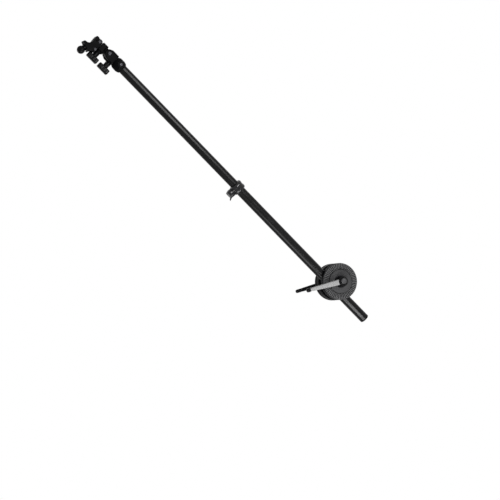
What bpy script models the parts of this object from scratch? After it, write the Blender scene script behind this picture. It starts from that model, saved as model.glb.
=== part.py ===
"""A telescopic reflector bracket: a grip head for a lighting stand, a two-section boom and a clamp head.

Metres, +Z up. The origin is the middle of the stand socket's mouth. The boom rises to -X, and the
discs face -Y. Pieces of the boom are drawn in a boom frame: X across the boom, Y along the disc axis
and Z up the boom from the point beside the disc axis.
"""
import math

import bmesh
import bpy
from mathutils import Matrix, Vector

# Running gaps
FACE_GAP = 0.0003
BORE_GAP = 0.0003
SLIDE_GAP = 0.0002

# Boom
BOOM_ANGLE = math.radians(43.5)
OUTER_TUBE_DIAMETER = 0.024
OUTER_TUBE_WALL = 0.0007
INNER_TUBE_WALL = 0.001
TAIL_REACH = 0.1186
COLLAR_DISTANCE = 0.3500
INNER_TUBE_SHOWN = 0.3992
INNER_TUBE_OVERLAP = 0.070
TUBE_IN_FITTING = 0.018
TAIL_PLUG_FLANGE = 0.003
TAIL_PLUG_DEPTH = 0.014
TAIL_PLUG_WALL = 0.002
GUIDE_BUSH_LENGTH = 0.016
GUIDE_BUSH_WALL = 0.0012

# Stand socket casting
SOCKET_BORE = 0.0163
SOCKET_WALL = 0.0088
SOCKET_HEIGHT = 0.062
SOCKET_BORE_DEPTH = 0.056
DISC_AXIS_HEIGHT = 0.040
FLANGE_TO_BORE = 0.021
FLANGE_THICKNESS = 0.009
FLANGE_RADIUS = 0.0462
RIB_THICKNESS = 0.006
RIB_REACH = 0.034
LOCK_BOSS_RADIUS = 0.011
LOCK_BOSS_REACH = 0.022

# Discs
DISC_RADIUS = 0.0460
DISC_THICKNESS = 0.015
DISC_GAP = 0.016
DISC_EDGE = 0.001
CENTRE_RADIUS = 0.0295
CENTRE_RISE = 0.0025
TOOTH_COUNT = 56
TOOTH_HEIGHT = 0.0015
TOOTH_INNER_RADIUS = 0.0325
TOOTH_OUTER_RADIUS = 0.0446
GROOVE_FLAT_DEPTH = 0.0065
FRICTION_WASHER_THICKNESS = 0.0015
FRICTION_WASHER_RADIUS = 0.036

# Clamp stud, lever and alignment pin
STUD_DIAMETER = 0.006
STUD_DEPTH = 0.0105
THRUST_WASHER_RADIUS = 0.0162
THRUST_WASHER_THICKNESS = 0.0015
HUB_RADIUS = 0.0142
HUB_END_RADIUS = 0.0085
HUB_LENGTH = 0.0210
HUB_TAPER_START = 0.0120
INSERT_RADIUS = 0.0065
INSERT_LENGTH = 0.0100
BUTTON_RADIUS = 0.0070
BUTTON_RISE = 0.0022
BUTTON_STEM_RADIUS = 0.0035
BUTTON_STEM_LENGTH = 0.004
LEVER_ANGLE = math.radians(194.5)
LEVER_AXIS_RISE = 0.0115
LEVER_START = 0.0085
LEVER_END = 0.0890
LEVER_ROOT_WIDTH = 0.0140
LEVER_TIP_WIDTH = 0.0085
LEVER_ROOT_THICKNESS = 0.0100
LEVER_TIP_THICKNESS = 0.0075
LEVER_CHAMFER = 0.0022
LEVER_TENON_RADIUS = 0.0026
LEVER_TENON_LENGTH = 0.006
LEVER_CAP_RADIUS = 0.0052
LEVER_CAP_LENGTH = 0.010
PIN_OFFSET = 0.026
PIN_DIAMETER = 0.006
PIN_IN_REAR_DISC = 0.010
PIN_IN_FRONT_DISC = 0.011
SPRING_WIRE = 0.0012
SPRING_POCKET_DEPTH = 0.003
OPENING_SPRING_TURNS = 6

# Stud lock
LOCK_SCREW_DIAMETER = 0.008
LOCK_HUB_RADIUS = 0.0095
LOCK_HUB_LENGTH = 0.0150
LOCK_ARM_ANGLE = math.radians(196.4)
LOCK_ARM_LENGTH = 0.0840
LOCK_ARM_ROOT_RADIUS = 0.0060
LOCK_ARM_TIP_RADIUS = 0.0046
LOCK_ARM_RISE = 0.0075

# Lock collar
COLLAR_LENGTH = 0.022
COLLAR_WALL = 0.0048
COLLAR_LIP = 0.0020
COLLAR_BAND_LENGTH = 0.016
COLLAR_BOSS_RADIUS = 0.0098
COLLAR_BOSS_REACH = 0.0178
COLLAR_OVERHANG = 0.005
COLLAR_SCREW_DIAMETER = 0.005
KNOB_PLACE = 0.0018
KNOB_BASE_RADIUS = 0.0105
KNOB_END_RADIUS = 0.0090
KNOB_LENGTH = 0.0120
KNOB_WING_SHORT = 0.0092
KNOB_WING_LONG = 0.0088
KNOB_WING_THICKNESS = 0.0040
KNOB_WING_HEIGHT = 0.0050
KNOB_SPUR_HEIGHT = 0.0064
KNOB_SPUR_REACH = 0.0120
KNOB_SPUR_WIDTH = 0.0024

# End fitting and swivel
FITTING_LENGTH = 0.0270
FITTING_RADIUS = 0.0160
FITTING_MOUTH_RADIUS = 0.0128
FITTING_NECK_RADIUS = 0.0125
CROSS_BOLT_PLACE = 0.0125
CROSS_BOLT_DIAMETER = 0.004
CROSS_BOLT_HEAD_RADIUS = 0.0045
CROSS_BOLT_HEAD_HEIGHT = 0.0024
CROSS_BOSS_RADIUS = 0.0085
CROSS_BOSS_REACH = 0.0172
SPIGOT_RADIUS = 0.0070
SPIGOT_LENGTH = 0.0105
SWIVEL_KNOB_PLACE = 0.0070
SPIGOT_GROOVE_DEPTH = 0.0010
SPIGOT_GROOVE_WIDTH = 0.0044

# Swivel block, tilt knuckle and their bolt
BLOCK_HALF_WIDTH = 0.0130
BLOCK_SHOULDER = 0.0020
BLOCK_HALF_DEPTH = 0.0125
BLOCK_SEAM = 0.0010
TILT_DISTANCE = 0.0225
EAR_RADIUS = 0.0110
EAR_INNER_FACE = 0.0058
TILT_BOLT_DIAMETER = 0.006
TILT_HEAD_RADIUS = 0.0055
TILT_HEAD_HEIGHT = 0.0030
KNUCKLE_FLANGE_THICKNESS = 0.0026
KNUCKLE_FLANGE_RADIUS = 0.0134

# T-knobs
T_SCREW_DIAMETER = 0.006
T_BOSS_RADIUS = 0.0075
T_BOSS_REACH = 0.0165
T_NECK_RADIUS = 0.0075
T_BAR_NEAR = 0.0275
T_BAR_FAR = 0.0410
T_BAR_LENGTH = 0.0325
T_BAR_WIDTH = 0.0115
T_BAR_EDGE = 0.0016
T_SCREW_IN_KNOB = 0.0090

# Jaw hub and jaws
HUB_BLOCK_LENGTH = 0.0140
HUB_BLOCK_HALF_WIDTH = 0.0110
HUB_SPIGOT_LENGTH = 0.0120
HUB_KNOB_PLACE = 0.0074
JAW_HALF_WIDTH = 0.0100
JAW_WEB_HALF_WIDTH = 0.0062
JAW_TOP = 0.0110
NOSE_HEIGHT_START = 0.0120
PINCH_HEIGHT = -0.0025
HINGE_PLACE = 0.0220
HINGE_HEIGHT = 0.0040
HINGE_RADIUS = 0.0068
HINGE_PIN_DIAMETER = 0.005
HINGE_PIN_HEAD_RADIUS = 0.0038
HINGE_PIN_HEAD_HEIGHT = 0.0012
JAW_BOLT_PLACE = 0.0185
JAW_BOLT_HEIGHT = -0.0180
JAW_BOLT_DIAMETER = 0.005
JAW_BOLT_HEAD_RADIUS = 0.0045
JAW_BOLT_HEAD_HEIGHT = 0.0026
HUB_TONGUE_HALF_WIDTH = 0.0045
HUB_TONGUE_REACH = 0.0245
NOSE_RADIUS = 0.0120
NOSE_CENTRE_PLACE = 0.0482
NOSE_CENTRE_HEIGHT = -0.0071
LIP_RADIUS = 0.0030
LIP_PLACE = 0.0492
LIP_HEIGHT = -0.0224
LOWER_JAW_BOTTOM = -0.0270
PAD_THICKNESS = 0.0012
GAP_SCREW_TILT = math.radians(14.0)
GAP_SCREW_DIAMETER = 0.005
GAP_KNOB_RADIUS = 0.0103
GAP_KNOB_PLACE = 0.0412
GAP_KNOB_HEIGHT = -0.0412
GAP_KNOB_NECK_RADIUS = 0.0072
GAP_SEAT_HEIGHT = -0.0290
GUARD_BOTTOM = -0.0335
GUARD_GAP = 0.0010
CLOSING_SPRING_WIRE = 0.0010
CLOSING_SPRING_TURNS = 4
SPRING_SLOT_HALF_WIDTH = 0.0032

# Roundness
FINE = 40
MEDIUM = 28
SMALL = 18
ROD_TWIST = math.radians(4.3)

# Sizes that follow from those above
BOOM_RADIUS = OUTER_TUBE_DIAMETER / 2
INNER_TUBE_RADIUS = BOOM_RADIUS - OUTER_TUBE_WALL - SLIDE_GAP
HALF_GAP = DISC_GAP / 2
STUD_OFFSET = BOOM_RADIUS + STUD_DIAMETER / 2 + 2 * SLIDE_GAP
WASHER_STACK = FRICTION_WASHER_THICKNESS + 2 * FACE_GAP
BOOM_PLANE = -(FLANGE_TO_BORE + WASHER_STACK + DISC_THICKNESS + HALF_GAP)
DISC_OUTER_FACE = HALF_GAP + DISC_THICKNESS
CENTRE_FACE = DISC_OUTER_FACE + CENTRE_RISE
HUB_BASE = CENTRE_FACE + THRUST_WASHER_THICKNESS + 2 * FACE_GAP
SOCKET_RADIUS = SOCKET_BORE / 2 + SOCKET_WALL
INNER_TUBE_END = COLLAR_DISTANCE + COLLAR_LENGTH / 2 + INNER_TUBE_SHOWN
FITTING_START = INNER_TUBE_END
BLOCK_START = FITTING_START + FITTING_LENGTH + BLOCK_SEAM
TILT_CENTRE = BLOCK_START + TILT_DISTANCE
KNUCKLE_FLANGE_START = EAR_RADIUS + FACE_GAP
HUB_START = KNUCKLE_FLANGE_START + KNUCKLE_FLANGE_THICKNESS + FACE_GAP

# Directions: a turned piece is drawn along Z and then laid to the viewer, to the back or across the boom
TO_VIEWER = Matrix.Rotation(math.radians(90), 4, "X")
TO_BACK = Matrix.Rotation(math.radians(-90), 4, "X")
ACROSS = Matrix.Rotation(math.radians(-90), 4, "Y")
UPRIGHT = Matrix.Identity(4)


def clear_scene():
    """Remove every object that is in the file."""
    for item in list(bpy.data.objects):
        bpy.data.objects.remove(item, do_unlink=True)


def material(name, colour, roughness, metallic=0.0):
    """Make a plain material."""
    made = bpy.data.materials.new(name)
    made.use_nodes = True
    shader = made.node_tree.nodes["Principled BSDF"]
    shader.inputs["Base Color"].default_value = (*colour, 1.0)
    shader.inputs["Roughness"].default_value = roughness
    shader.inputs["Metallic"].default_value = metallic
    return made


def empty(name, parent=None, place=(0, 0, 0), turn=(0, 0, 0)):
    """Make an empty that marks a joint's axis or a piece's frame."""
    made = bpy.data.objects.new(name, None)
    bpy.context.scene.collection.objects.link(made)
    made.parent = parent
    made.location = place
    made.rotation_euler = turn
    return made


def solid(name, mesh, finish, parent, place=(0, 0, 0), turn=(0, 0, 0), lay=UPRIGHT):
    """Turn a bmesh into a named object, laid along the direction that is asked for."""
    mesh.transform(lay)
    bmesh.ops.recalc_face_normals(mesh, faces=mesh.faces)
    data = bpy.data.meshes.new(name)
    mesh.to_mesh(data)
    mesh.free()
    data.materials.append(finish)
    data.shade_smooth()
    data.set_sharp_from_angle(angle=math.radians(32))
    made = bpy.data.objects.new(name, data)
    bpy.context.scene.collection.objects.link(made)
    made.parent = parent
    made.location = place
    made.rotation_euler = turn
    return made


def tool(mesh, parent, place=(0, 0, 0), turn=(0, 0, 0), lay=UPRIGHT):
    """Make a hidden guide body for a Boolean."""
    made = solid("guide", mesh, GUIDE, parent, place, turn, lay)
    made.hide_render = True
    made.display_type = "WIRE"
    return made


def combine(target, guides, operation="DIFFERENCE"):
    """Cut the guides out of a piece, or join them to it."""
    for guide in guides:
        step = target.modifiers.new(operation.title(), "BOOLEAN")
        step.operation = operation
        step.solver = "EXACT"
        step.object = guide


def turned(profile, steps=MEDIUM):
    """Spin a profile of (radius, height) points round Z."""
    mesh = bmesh.new()
    points = [mesh.verts.new((radius, 0, height)) for radius, height in profile]
    lines = [mesh.edges.new(pair) for pair in zip(points, points[1:])]
    if min(radius for radius, _ in profile) > 0:
        lines.append(mesh.edges.new((points[-1], points[0])))
    bmesh.ops.spin(
        mesh, geom=points + lines, cent=(0, 0, 0), axis=(0, 0, 1), angle=math.tau, steps=steps, use_merge=True
    )
    bmesh.ops.remove_doubles(mesh, verts=mesh.verts, dist=0.000001)
    return mesh


def rod(radius, low, high, steps=SMALL, chamfer=0.0):
    """A round bar from low to high, with chamfered ends where asked."""
    profile = [(0, low), (radius - chamfer, low), (radius, low + chamfer)]
    profile += [(radius, high - chamfer), (radius - chamfer, high), (0, high)]
    if chamfer == 0:
        profile = [(0, low), (radius, low), (radius, high), (0, high)]
    mesh = turned(profile, steps)
    mesh.transform(Matrix.Rotation(ROD_TWIST, 4, "Z"))
    return mesh


def ring(inner, outer, low, high, steps=MEDIUM):
    """A plain ring or tube."""
    return turned([(inner, low), (outer, low), (outer, high), (inner, high)], steps)


def plate(outline, low, high):
    """Extrude an outline of (across, along) points from low to high on Y."""
    mesh = bmesh.new()
    face = mesh.faces.new([mesh.verts.new((across, low, along)) for across, along in outline])
    made = bmesh.ops.extrude_face_region(mesh, geom=[face])
    moved = [item for item in made["geom"] if isinstance(item, bmesh.types.BMVert)]
    bmesh.ops.translate(mesh, verts=moved, vec=(0, high - low, 0))
    return mesh


def block(low, high):
    """A box between two corners."""
    middle = (Vector(low) + Vector(high)) / 2
    size = Vector(high) - Vector(low)
    mesh = bmesh.new()
    bmesh.ops.create_cube(mesh, size=1, matrix=Matrix.Translation(middle) @ Matrix.Diagonal((*size, 1)))
    return mesh


def arc(centre, radius, start, end, count):
    """Points on an arc, as (across, along); the angle is read from the along direction towards across."""
    made = []
    for index in range(count + 1):
        angle = math.radians(start + (end - start) * index / count)
        made.append((centre[0] + radius * math.sin(angle), centre[1] + radius * math.cos(angle)))
    return made


def soften(target, width, segments=2, angle=40):
    """Round the sharp edges of a piece."""
    step = target.modifiers.new("Bevel", "BEVEL")
    step.width = width
    step.segments = segments
    step.limit_method = "ANGLE"
    step.angle_limit = math.radians(angle)
    step.use_clamp_overlap = True


def coil(name, radius, wire, length, turns, finish, parent, place, lay):
    """A compression spring: one unbroken wire along a helix, drawn along Z."""
    per_turn = 8
    count = turns * per_turn
    rise = length - wire
    line = bpy.data.curves.new(name, "CURVE")
    line.dimensions = "3D"
    line.bevel_depth = wire / 2
    line.bevel_resolution = 1
    line.use_fill_caps = True
    spline = line.splines.new("POLY")
    spline.points.add(count)
    for index, point in enumerate(spline.points):
        share = index / count
        angle = math.tau * index / per_turn
        spot = Vector((radius * math.cos(angle), radius * math.sin(angle), wire / 2 + rise * share))
        point.co = (*(lay @ spot), 1)
    line.materials.append(finish)
    made = bpy.data.objects.new(name, line)
    bpy.context.scene.collection.objects.link(made)
    made.parent = parent
    made.location = place
    return made


def stand_clamp():
    """The socket casting with the stud that carries the discs and the lever that locks the stand."""
    height = DISC_AXIS_HEIGHT
    half_bore = SOCKET_BORE / 2
    barrel = [(0, 0), (SOCKET_RADIUS - 0.0015, 0), (SOCKET_RADIUS, 0.0015)]
    barrel += [(SOCKET_RADIUS, SOCKET_HEIGHT - 0.004), (SOCKET_RADIUS - 0.004, SOCKET_HEIGHT),
               (0, SOCKET_HEIGHT)]
    casting = solid("socket_casting", turned(barrel, FINE), CASTING, None)
    flange = rod(FLANGE_RADIUS, FLANGE_TO_BORE - FLANGE_THICKNESS, FLANGE_TO_BORE, FINE, 0.001)
    at_axis = (0, 0, height)
    back = -(FLANGE_TO_BORE - FLANGE_THICKNESS + 0.0005)
    rib = plate([(-RIB_REACH, back), (RIB_REACH, back), (0.012, 0.008), (-0.012, 0.008)],
                -RIB_THICKNESS / 2, RIB_THICKNESS / 2)
    boss = rod(LOCK_BOSS_RADIUS, half_bore + 0.002, LOCK_BOSS_REACH, MEDIUM, 0.001)
    combine(casting, [
        tool(flange, None, at_axis, lay=TO_VIEWER),
        tool(rib, None, at_axis, lay=TO_BACK),
        tool(boss, None, at_axis, lay=TO_BACK),
    ], "UNION")
    stud_end = FLANGE_TO_BORE - STUD_DEPTH
    combine(casting, [
        tool(rod(STUD_DIAMETER / 2 + BORE_GAP, stud_end - FACE_GAP, FLANGE_TO_BORE + 0.001), None, at_axis,
             lay=TO_VIEWER),
        tool(rod(LOCK_SCREW_DIAMETER / 2 + BORE_GAP, 0.003, LOCK_BOSS_REACH + 0.001, 24), None, at_axis,
             lay=TO_BACK),
        tool(rod(half_bore, -0.001, SOCKET_BORE_DEPTH, FINE), None),
    ])

    lock = empty("stud_lock_axis", None, at_axis)
    hub_start = LOCK_BOSS_REACH + FACE_GAP
    screw_end = hub_start + LOCK_HUB_LENGTH * 0.7
    screw = rod(LOCK_SCREW_DIAMETER / 2, half_bore + BORE_GAP, screw_end, SMALL, 0.0006)
    solid("stud_lock_screw", screw, STEEL, lock, lay=TO_BACK)
    hub = [(0, screw_end + FACE_GAP), (LOCK_SCREW_DIAMETER / 2 + BORE_GAP, screw_end + FACE_GAP)]
    hub += [(LOCK_SCREW_DIAMETER / 2 + BORE_GAP, hub_start), (LOCK_HUB_RADIUS - 0.001, hub_start)]
    hub += [(LOCK_HUB_RADIUS, hub_start + 0.001), (LOCK_HUB_RADIUS, hub_start + LOCK_HUB_LENGTH - 0.002)]
    hub += [(LOCK_HUB_RADIUS - 0.002, hub_start + LOCK_HUB_LENGTH), (0, hub_start + LOCK_HUB_LENGTH)]
    lever = solid("stud_lock_lever", turned(hub, MEDIUM), NYLON, lock, lay=TO_BACK)
    arm = [(0, LOCK_HUB_RADIUS * 0.72), (LOCK_ARM_ROOT_RADIUS, LOCK_HUB_RADIUS * 0.72)]
    arm += [(LOCK_ARM_TIP_RADIUS, LOCK_ARM_LENGTH - 0.002), (LOCK_ARM_TIP_RADIUS - 0.0015, LOCK_ARM_LENGTH)]
    arm += [(0, LOCK_ARM_LENGTH)]
    arm_place = (0, hub_start + LOCK_ARM_RISE, 0)
    arm_turn = (0, math.radians(90) - LOCK_ARM_ANGLE, 0)
    combine(lever, [tool(turned(arm, SMALL), lock, arm_place, arm_turn)], "UNION")


def front_disc_mesh():
    """The front disc before its cuts: a raised middle and a band of radial teeth near the rim."""
    face = DISC_OUTER_FACE
    sunk = face - TOOTH_HEIGHT / 2
    profile = [(CENTRE_RADIUS - 0.0006, CENTRE_FACE, 0), (CENTRE_RADIUS, CENTRE_FACE - 0.0006, 0)]
    profile += [(CENTRE_RADIUS, face, 0), (TOOTH_INNER_RADIUS - 0.001, face, 0)]
    profile += [(TOOTH_INNER_RADIUS, face, TOOTH_HEIGHT / 2), (TOOTH_OUTER_RADIUS, face, TOOTH_HEIGHT / 2)]
    profile += [(DISC_RADIUS - DISC_EDGE, sunk, 0), (DISC_RADIUS, sunk - DISC_EDGE, 0)]
    profile += [(DISC_RADIUS, HALF_GAP + DISC_EDGE, 0), (DISC_RADIUS - DISC_EDGE, HALF_GAP, 0)]
    steps = 2 * TOOTH_COUNT
    mesh = bmesh.new()
    loops = []
    for radius, height, swing in profile:
        loop = []
        for index in range(steps):
            angle = math.tau * index / steps
            rise = swing if index % 2 else -swing
            loop.append(mesh.verts.new((radius * math.cos(angle), radius * math.sin(angle), height + rise)))
        loops.append(loop)
    mesh.faces.new(loops[0])
    mesh.faces.new(loops[-1])
    for first, second in zip(loops, loops[1:]):
        for index in range(steps):
            after = (index + 1) % steps
            mesh.faces.new((first[index], first[after], second[after], second[index]))
    return mesh


def grip_head(clamp):
    """Two grooved discs, the pin that lines them up, the spring that opens them and the clamping lever."""
    bore = STUD_DIAMETER / 2 + BORE_GAP
    flank = (BOOM_RADIUS + SLIDE_GAP) * math.sqrt(2)
    low = HALF_GAP - 0.001
    floor = HALF_GAP + GROOVE_FLAT_DEPTH
    half_length = DISC_RADIUS + 0.005
    spring_radius = PIN_DIAMETER / 2 + SPRING_WIRE / 2 + BORE_GAP
    pocket_radius = spring_radius + SPRING_WIRE / 2 + BORE_GAP
    pin_bore = PIN_DIAMETER / 2 + BORE_GAP

    front = solid("front_disc", front_disc_mesh(), CASTING, clamp, lay=TO_VIEWER)
    combine(front, [tool(rod(bore, low, CENTRE_FACE + 0.001), clamp, lay=TO_VIEWER)])
    profile = [(bore, HALF_GAP), (bore, DISC_OUTER_FACE), (DISC_RADIUS - DISC_EDGE, DISC_OUTER_FACE)]
    profile += [(DISC_RADIUS, DISC_OUTER_FACE - DISC_EDGE), (DISC_RADIUS, HALF_GAP + DISC_EDGE)]
    profile += [(DISC_RADIUS - DISC_EDGE, HALF_GAP)]
    rear = solid("rear_disc", turned(profile, 56), CASTING, clamp, lay=TO_BACK)
    for disc, side, lay, depth in (
        (front, -1, TO_VIEWER, PIN_IN_FRONT_DISC), (rear, 1, TO_BACK, PIN_IN_REAR_DISC),
    ):
        groove = bmesh.new()
        ends = []
        for along in (-half_length, half_length):
            section = [(-(flank - low), low), (-(flank - floor), floor), (flank - floor, floor),
                       (flank - low, low)]
            ends.append([groove.verts.new((across, side * deep, along)) for across, deep in section])
        groove.faces.new(ends[0])
        groove.faces.new(ends[1])
        for index in range(4):
            after = (index + 1) % 4
            groove.faces.new((ends[0][index], ends[0][after], ends[1][after], ends[1][index]))
        pin_end = HALF_GAP + depth + FACE_GAP
        combine(disc, [
            tool(groove, clamp, (-STUD_OFFSET, 0, 0)),
            tool(rod(pin_bore, low, pin_end), clamp, (PIN_OFFSET, 0, 0), lay=lay),
            tool(rod(pocket_radius, low, HALF_GAP + SPRING_POCKET_DEPTH), clamp, (PIN_OFFSET, 0, 0), lay=lay),
        ])

    pin = rod(PIN_DIAMETER / 2, -(HALF_GAP + PIN_IN_REAR_DISC), HALF_GAP + PIN_IN_FRONT_DISC, SMALL, 0.0006)
    solid("alignment_pin", pin, STEEL, clamp, (PIN_OFFSET, 0, 0), lay=TO_VIEWER)
    spring_length = DISC_GAP + 2 * SPRING_POCKET_DEPTH - 2 * FACE_GAP
    coil("opening_spring", spring_radius, SPRING_WIRE, spring_length, OPENING_SPRING_TURNS, STEEL, clamp,
         (PIN_OFFSET, spring_length / 2, 0), TO_VIEWER.to_3x3())

    rear_face = -(DISC_OUTER_FACE + FACE_GAP)
    washer = ring(bore, FRICTION_WASHER_RADIUS, rear_face - FRICTION_WASHER_THICKNESS, rear_face)
    solid("friction_washer", washer, NYLON, clamp, lay=TO_VIEWER)
    stud_start = -(DISC_OUTER_FACE + WASHER_STACK + STUD_DEPTH)
    stud_end = HUB_BASE + INSERT_LENGTH + 0.004
    stud = rod(STUD_DIAMETER / 2, stud_start, stud_end, MEDIUM, 0.0008)
    solid("clamp_stud", stud, STEEL, clamp, lay=TO_VIEWER)
    washer = ring(bore, THRUST_WASHER_RADIUS, CENTRE_FACE + FACE_GAP, HUB_BASE - FACE_GAP)
    solid("thrust_washer", washer, STEEL, clamp, lay=TO_VIEWER)

    lever = empty("lever_axis", clamp, (0, -HUB_BASE, 0), (0, math.radians(90) - BOOM_ANGLE, 0))
    insert_top = INSERT_LENGTH + FACE_GAP
    bore_top = INSERT_LENGTH + 0.004 + FACE_GAP
    wide = INSERT_RADIUS + BORE_GAP
    stem = BUTTON_STEM_RADIUS + BORE_GAP
    stem_floor = HUB_LENGTH - BUTTON_STEM_LENGTH - FACE_GAP
    hub = [(0, bore_top), (bore, bore_top), (bore, insert_top), (wide, insert_top), (wide, 0)]
    hub += [(HUB_RADIUS - 0.001, 0), (HUB_RADIUS, 0.001), (HUB_RADIUS, HUB_TAPER_START)]
    hub += [(HUB_RADIUS - 0.0014, HUB_TAPER_START + 0.0042), (HUB_END_RADIUS + 0.0016, HUB_LENGTH - 0.0016)]
    hub += [(HUB_END_RADIUS, HUB_LENGTH), (stem, HUB_LENGTH), (stem, stem_floor), (0, stem_floor)]
    hub_piece = solid("lever_hub", turned(hub, 40), NYLON, lever, lay=TO_VIEWER)
    pocket = block(
        (LEVER_START - FACE_GAP, -LEVER_ROOT_THICKNESS / 2 - BORE_GAP, -LEVER_ROOT_WIDTH / 2 - BORE_GAP),
        (HUB_RADIUS + 0.003, LEVER_ROOT_THICKNESS / 2 + BORE_GAP, LEVER_ROOT_WIDTH / 2 + BORE_GAP),
    )
    lever_place = (0, -LEVER_AXIS_RISE, 0)
    lever_turn = (0, -LEVER_ANGLE, 0)
    combine(hub_piece, [tool(pocket, lever, lever_place, lever_turn)])
    solid("hub_insert", ring(bore, INSERT_RADIUS, 0.0002, INSERT_LENGTH), BRASS, lever, lay=TO_VIEWER)
    button = [(0, HUB_LENGTH - BUTTON_STEM_LENGTH), (BUTTON_STEM_RADIUS, HUB_LENGTH - BUTTON_STEM_LENGTH)]
    button += [(BUTTON_STEM_RADIUS, HUB_LENGTH + FACE_GAP), (BUTTON_RADIUS, HUB_LENGTH + FACE_GAP)]
    button += [(BUTTON_RADIUS * 0.8, HUB_LENGTH + BUTTON_RISE * 0.75), (0, HUB_LENGTH + BUTTON_RISE)]
    solid("hub_button", turned(button, 24), GREY_NYLON, lever, lay=TO_VIEWER)

    bar = bmesh.new()
    loops = []
    for place, width, thickness in (
        (LEVER_START, LEVER_ROOT_WIDTH, LEVER_ROOT_THICKNESS),
        (LEVER_END, LEVER_TIP_WIDTH, LEVER_TIP_THICKNESS),
    ):
        half_width = width / 2
        half_thickness = thickness / 2
        cut = LEVER_CHAMFER
        corners = [(half_width, half_thickness - cut), (half_width - cut, half_thickness)]
        corners += [(cut - half_width, half_thickness), (-half_width, half_thickness - cut)]
        corners += [(-half_width, cut - half_thickness), (cut - half_width, -half_thickness)]
        corners += [(half_width - cut, -half_thickness), (half_width, cut - half_thickness)]
        loops.append([bar.verts.new((place, deep, wide_here)) for wide_here, deep in corners])
    for place in (LEVER_END, LEVER_END + LEVER_TENON_LENGTH):
        loop = []
        for index in range(8):
            angle = math.radians(22.5 + 45 * index)
            deep = LEVER_TENON_RADIUS * math.sin(angle)
            loop.append(bar.verts.new((place, deep, LEVER_TENON_RADIUS * math.cos(angle))))
        loops.append(loop)
    bar.faces.new(loops[0])
    bar.faces.new(loops[-1])
    for first, second in zip(loops, loops[1:]):
        for index in range(8):
            after = (index + 1) % 8
            bar.faces.new((first[index], first[after], second[after], second[index]))
    solid("lever_bar", bar, LIGHT_METAL, lever, lever_place, lever_turn)
    cap_start = LEVER_END + FACE_GAP
    hole = LEVER_TENON_RADIUS + BORE_GAP
    cap = [(0, LEVER_END + LEVER_TENON_LENGTH + FACE_GAP), (hole, LEVER_END + LEVER_TENON_LENGTH + FACE_GAP)]
    cap += [(hole, cap_start), (LEVER_CAP_RADIUS, cap_start),
            (LEVER_CAP_RADIUS, cap_start + LEVER_CAP_LENGTH * 0.7)]
    cap += [(LEVER_CAP_RADIUS * 0.75, cap_start + LEVER_CAP_LENGTH * 0.94), (0, cap_start + LEVER_CAP_LENGTH)]
    cap_turn = (0, math.radians(90) - LEVER_ANGLE, 0)
    solid("lever_cap", turned(cap, 24), NYLON, lever, lever_place, cap_turn)


def plug(name, radius, core, start, flange, depth, wall, finish, parent, turn=(0, 0, 0)):
    """A cup-shaped end plug: its flange covers the tube's end and its skirt goes up the bore."""
    skirt_top = flange + depth
    profile = [(0, 0), (radius - 0.0015, 0), (radius, 0.0015), (radius, flange), (core, flange)]
    profile += [(core, skirt_top), (core - wall, skirt_top), (core - wall, flange), (0, flange)]
    return solid(name, turned(profile, MEDIUM), finish, parent, (0, 0, start), turn)


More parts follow.
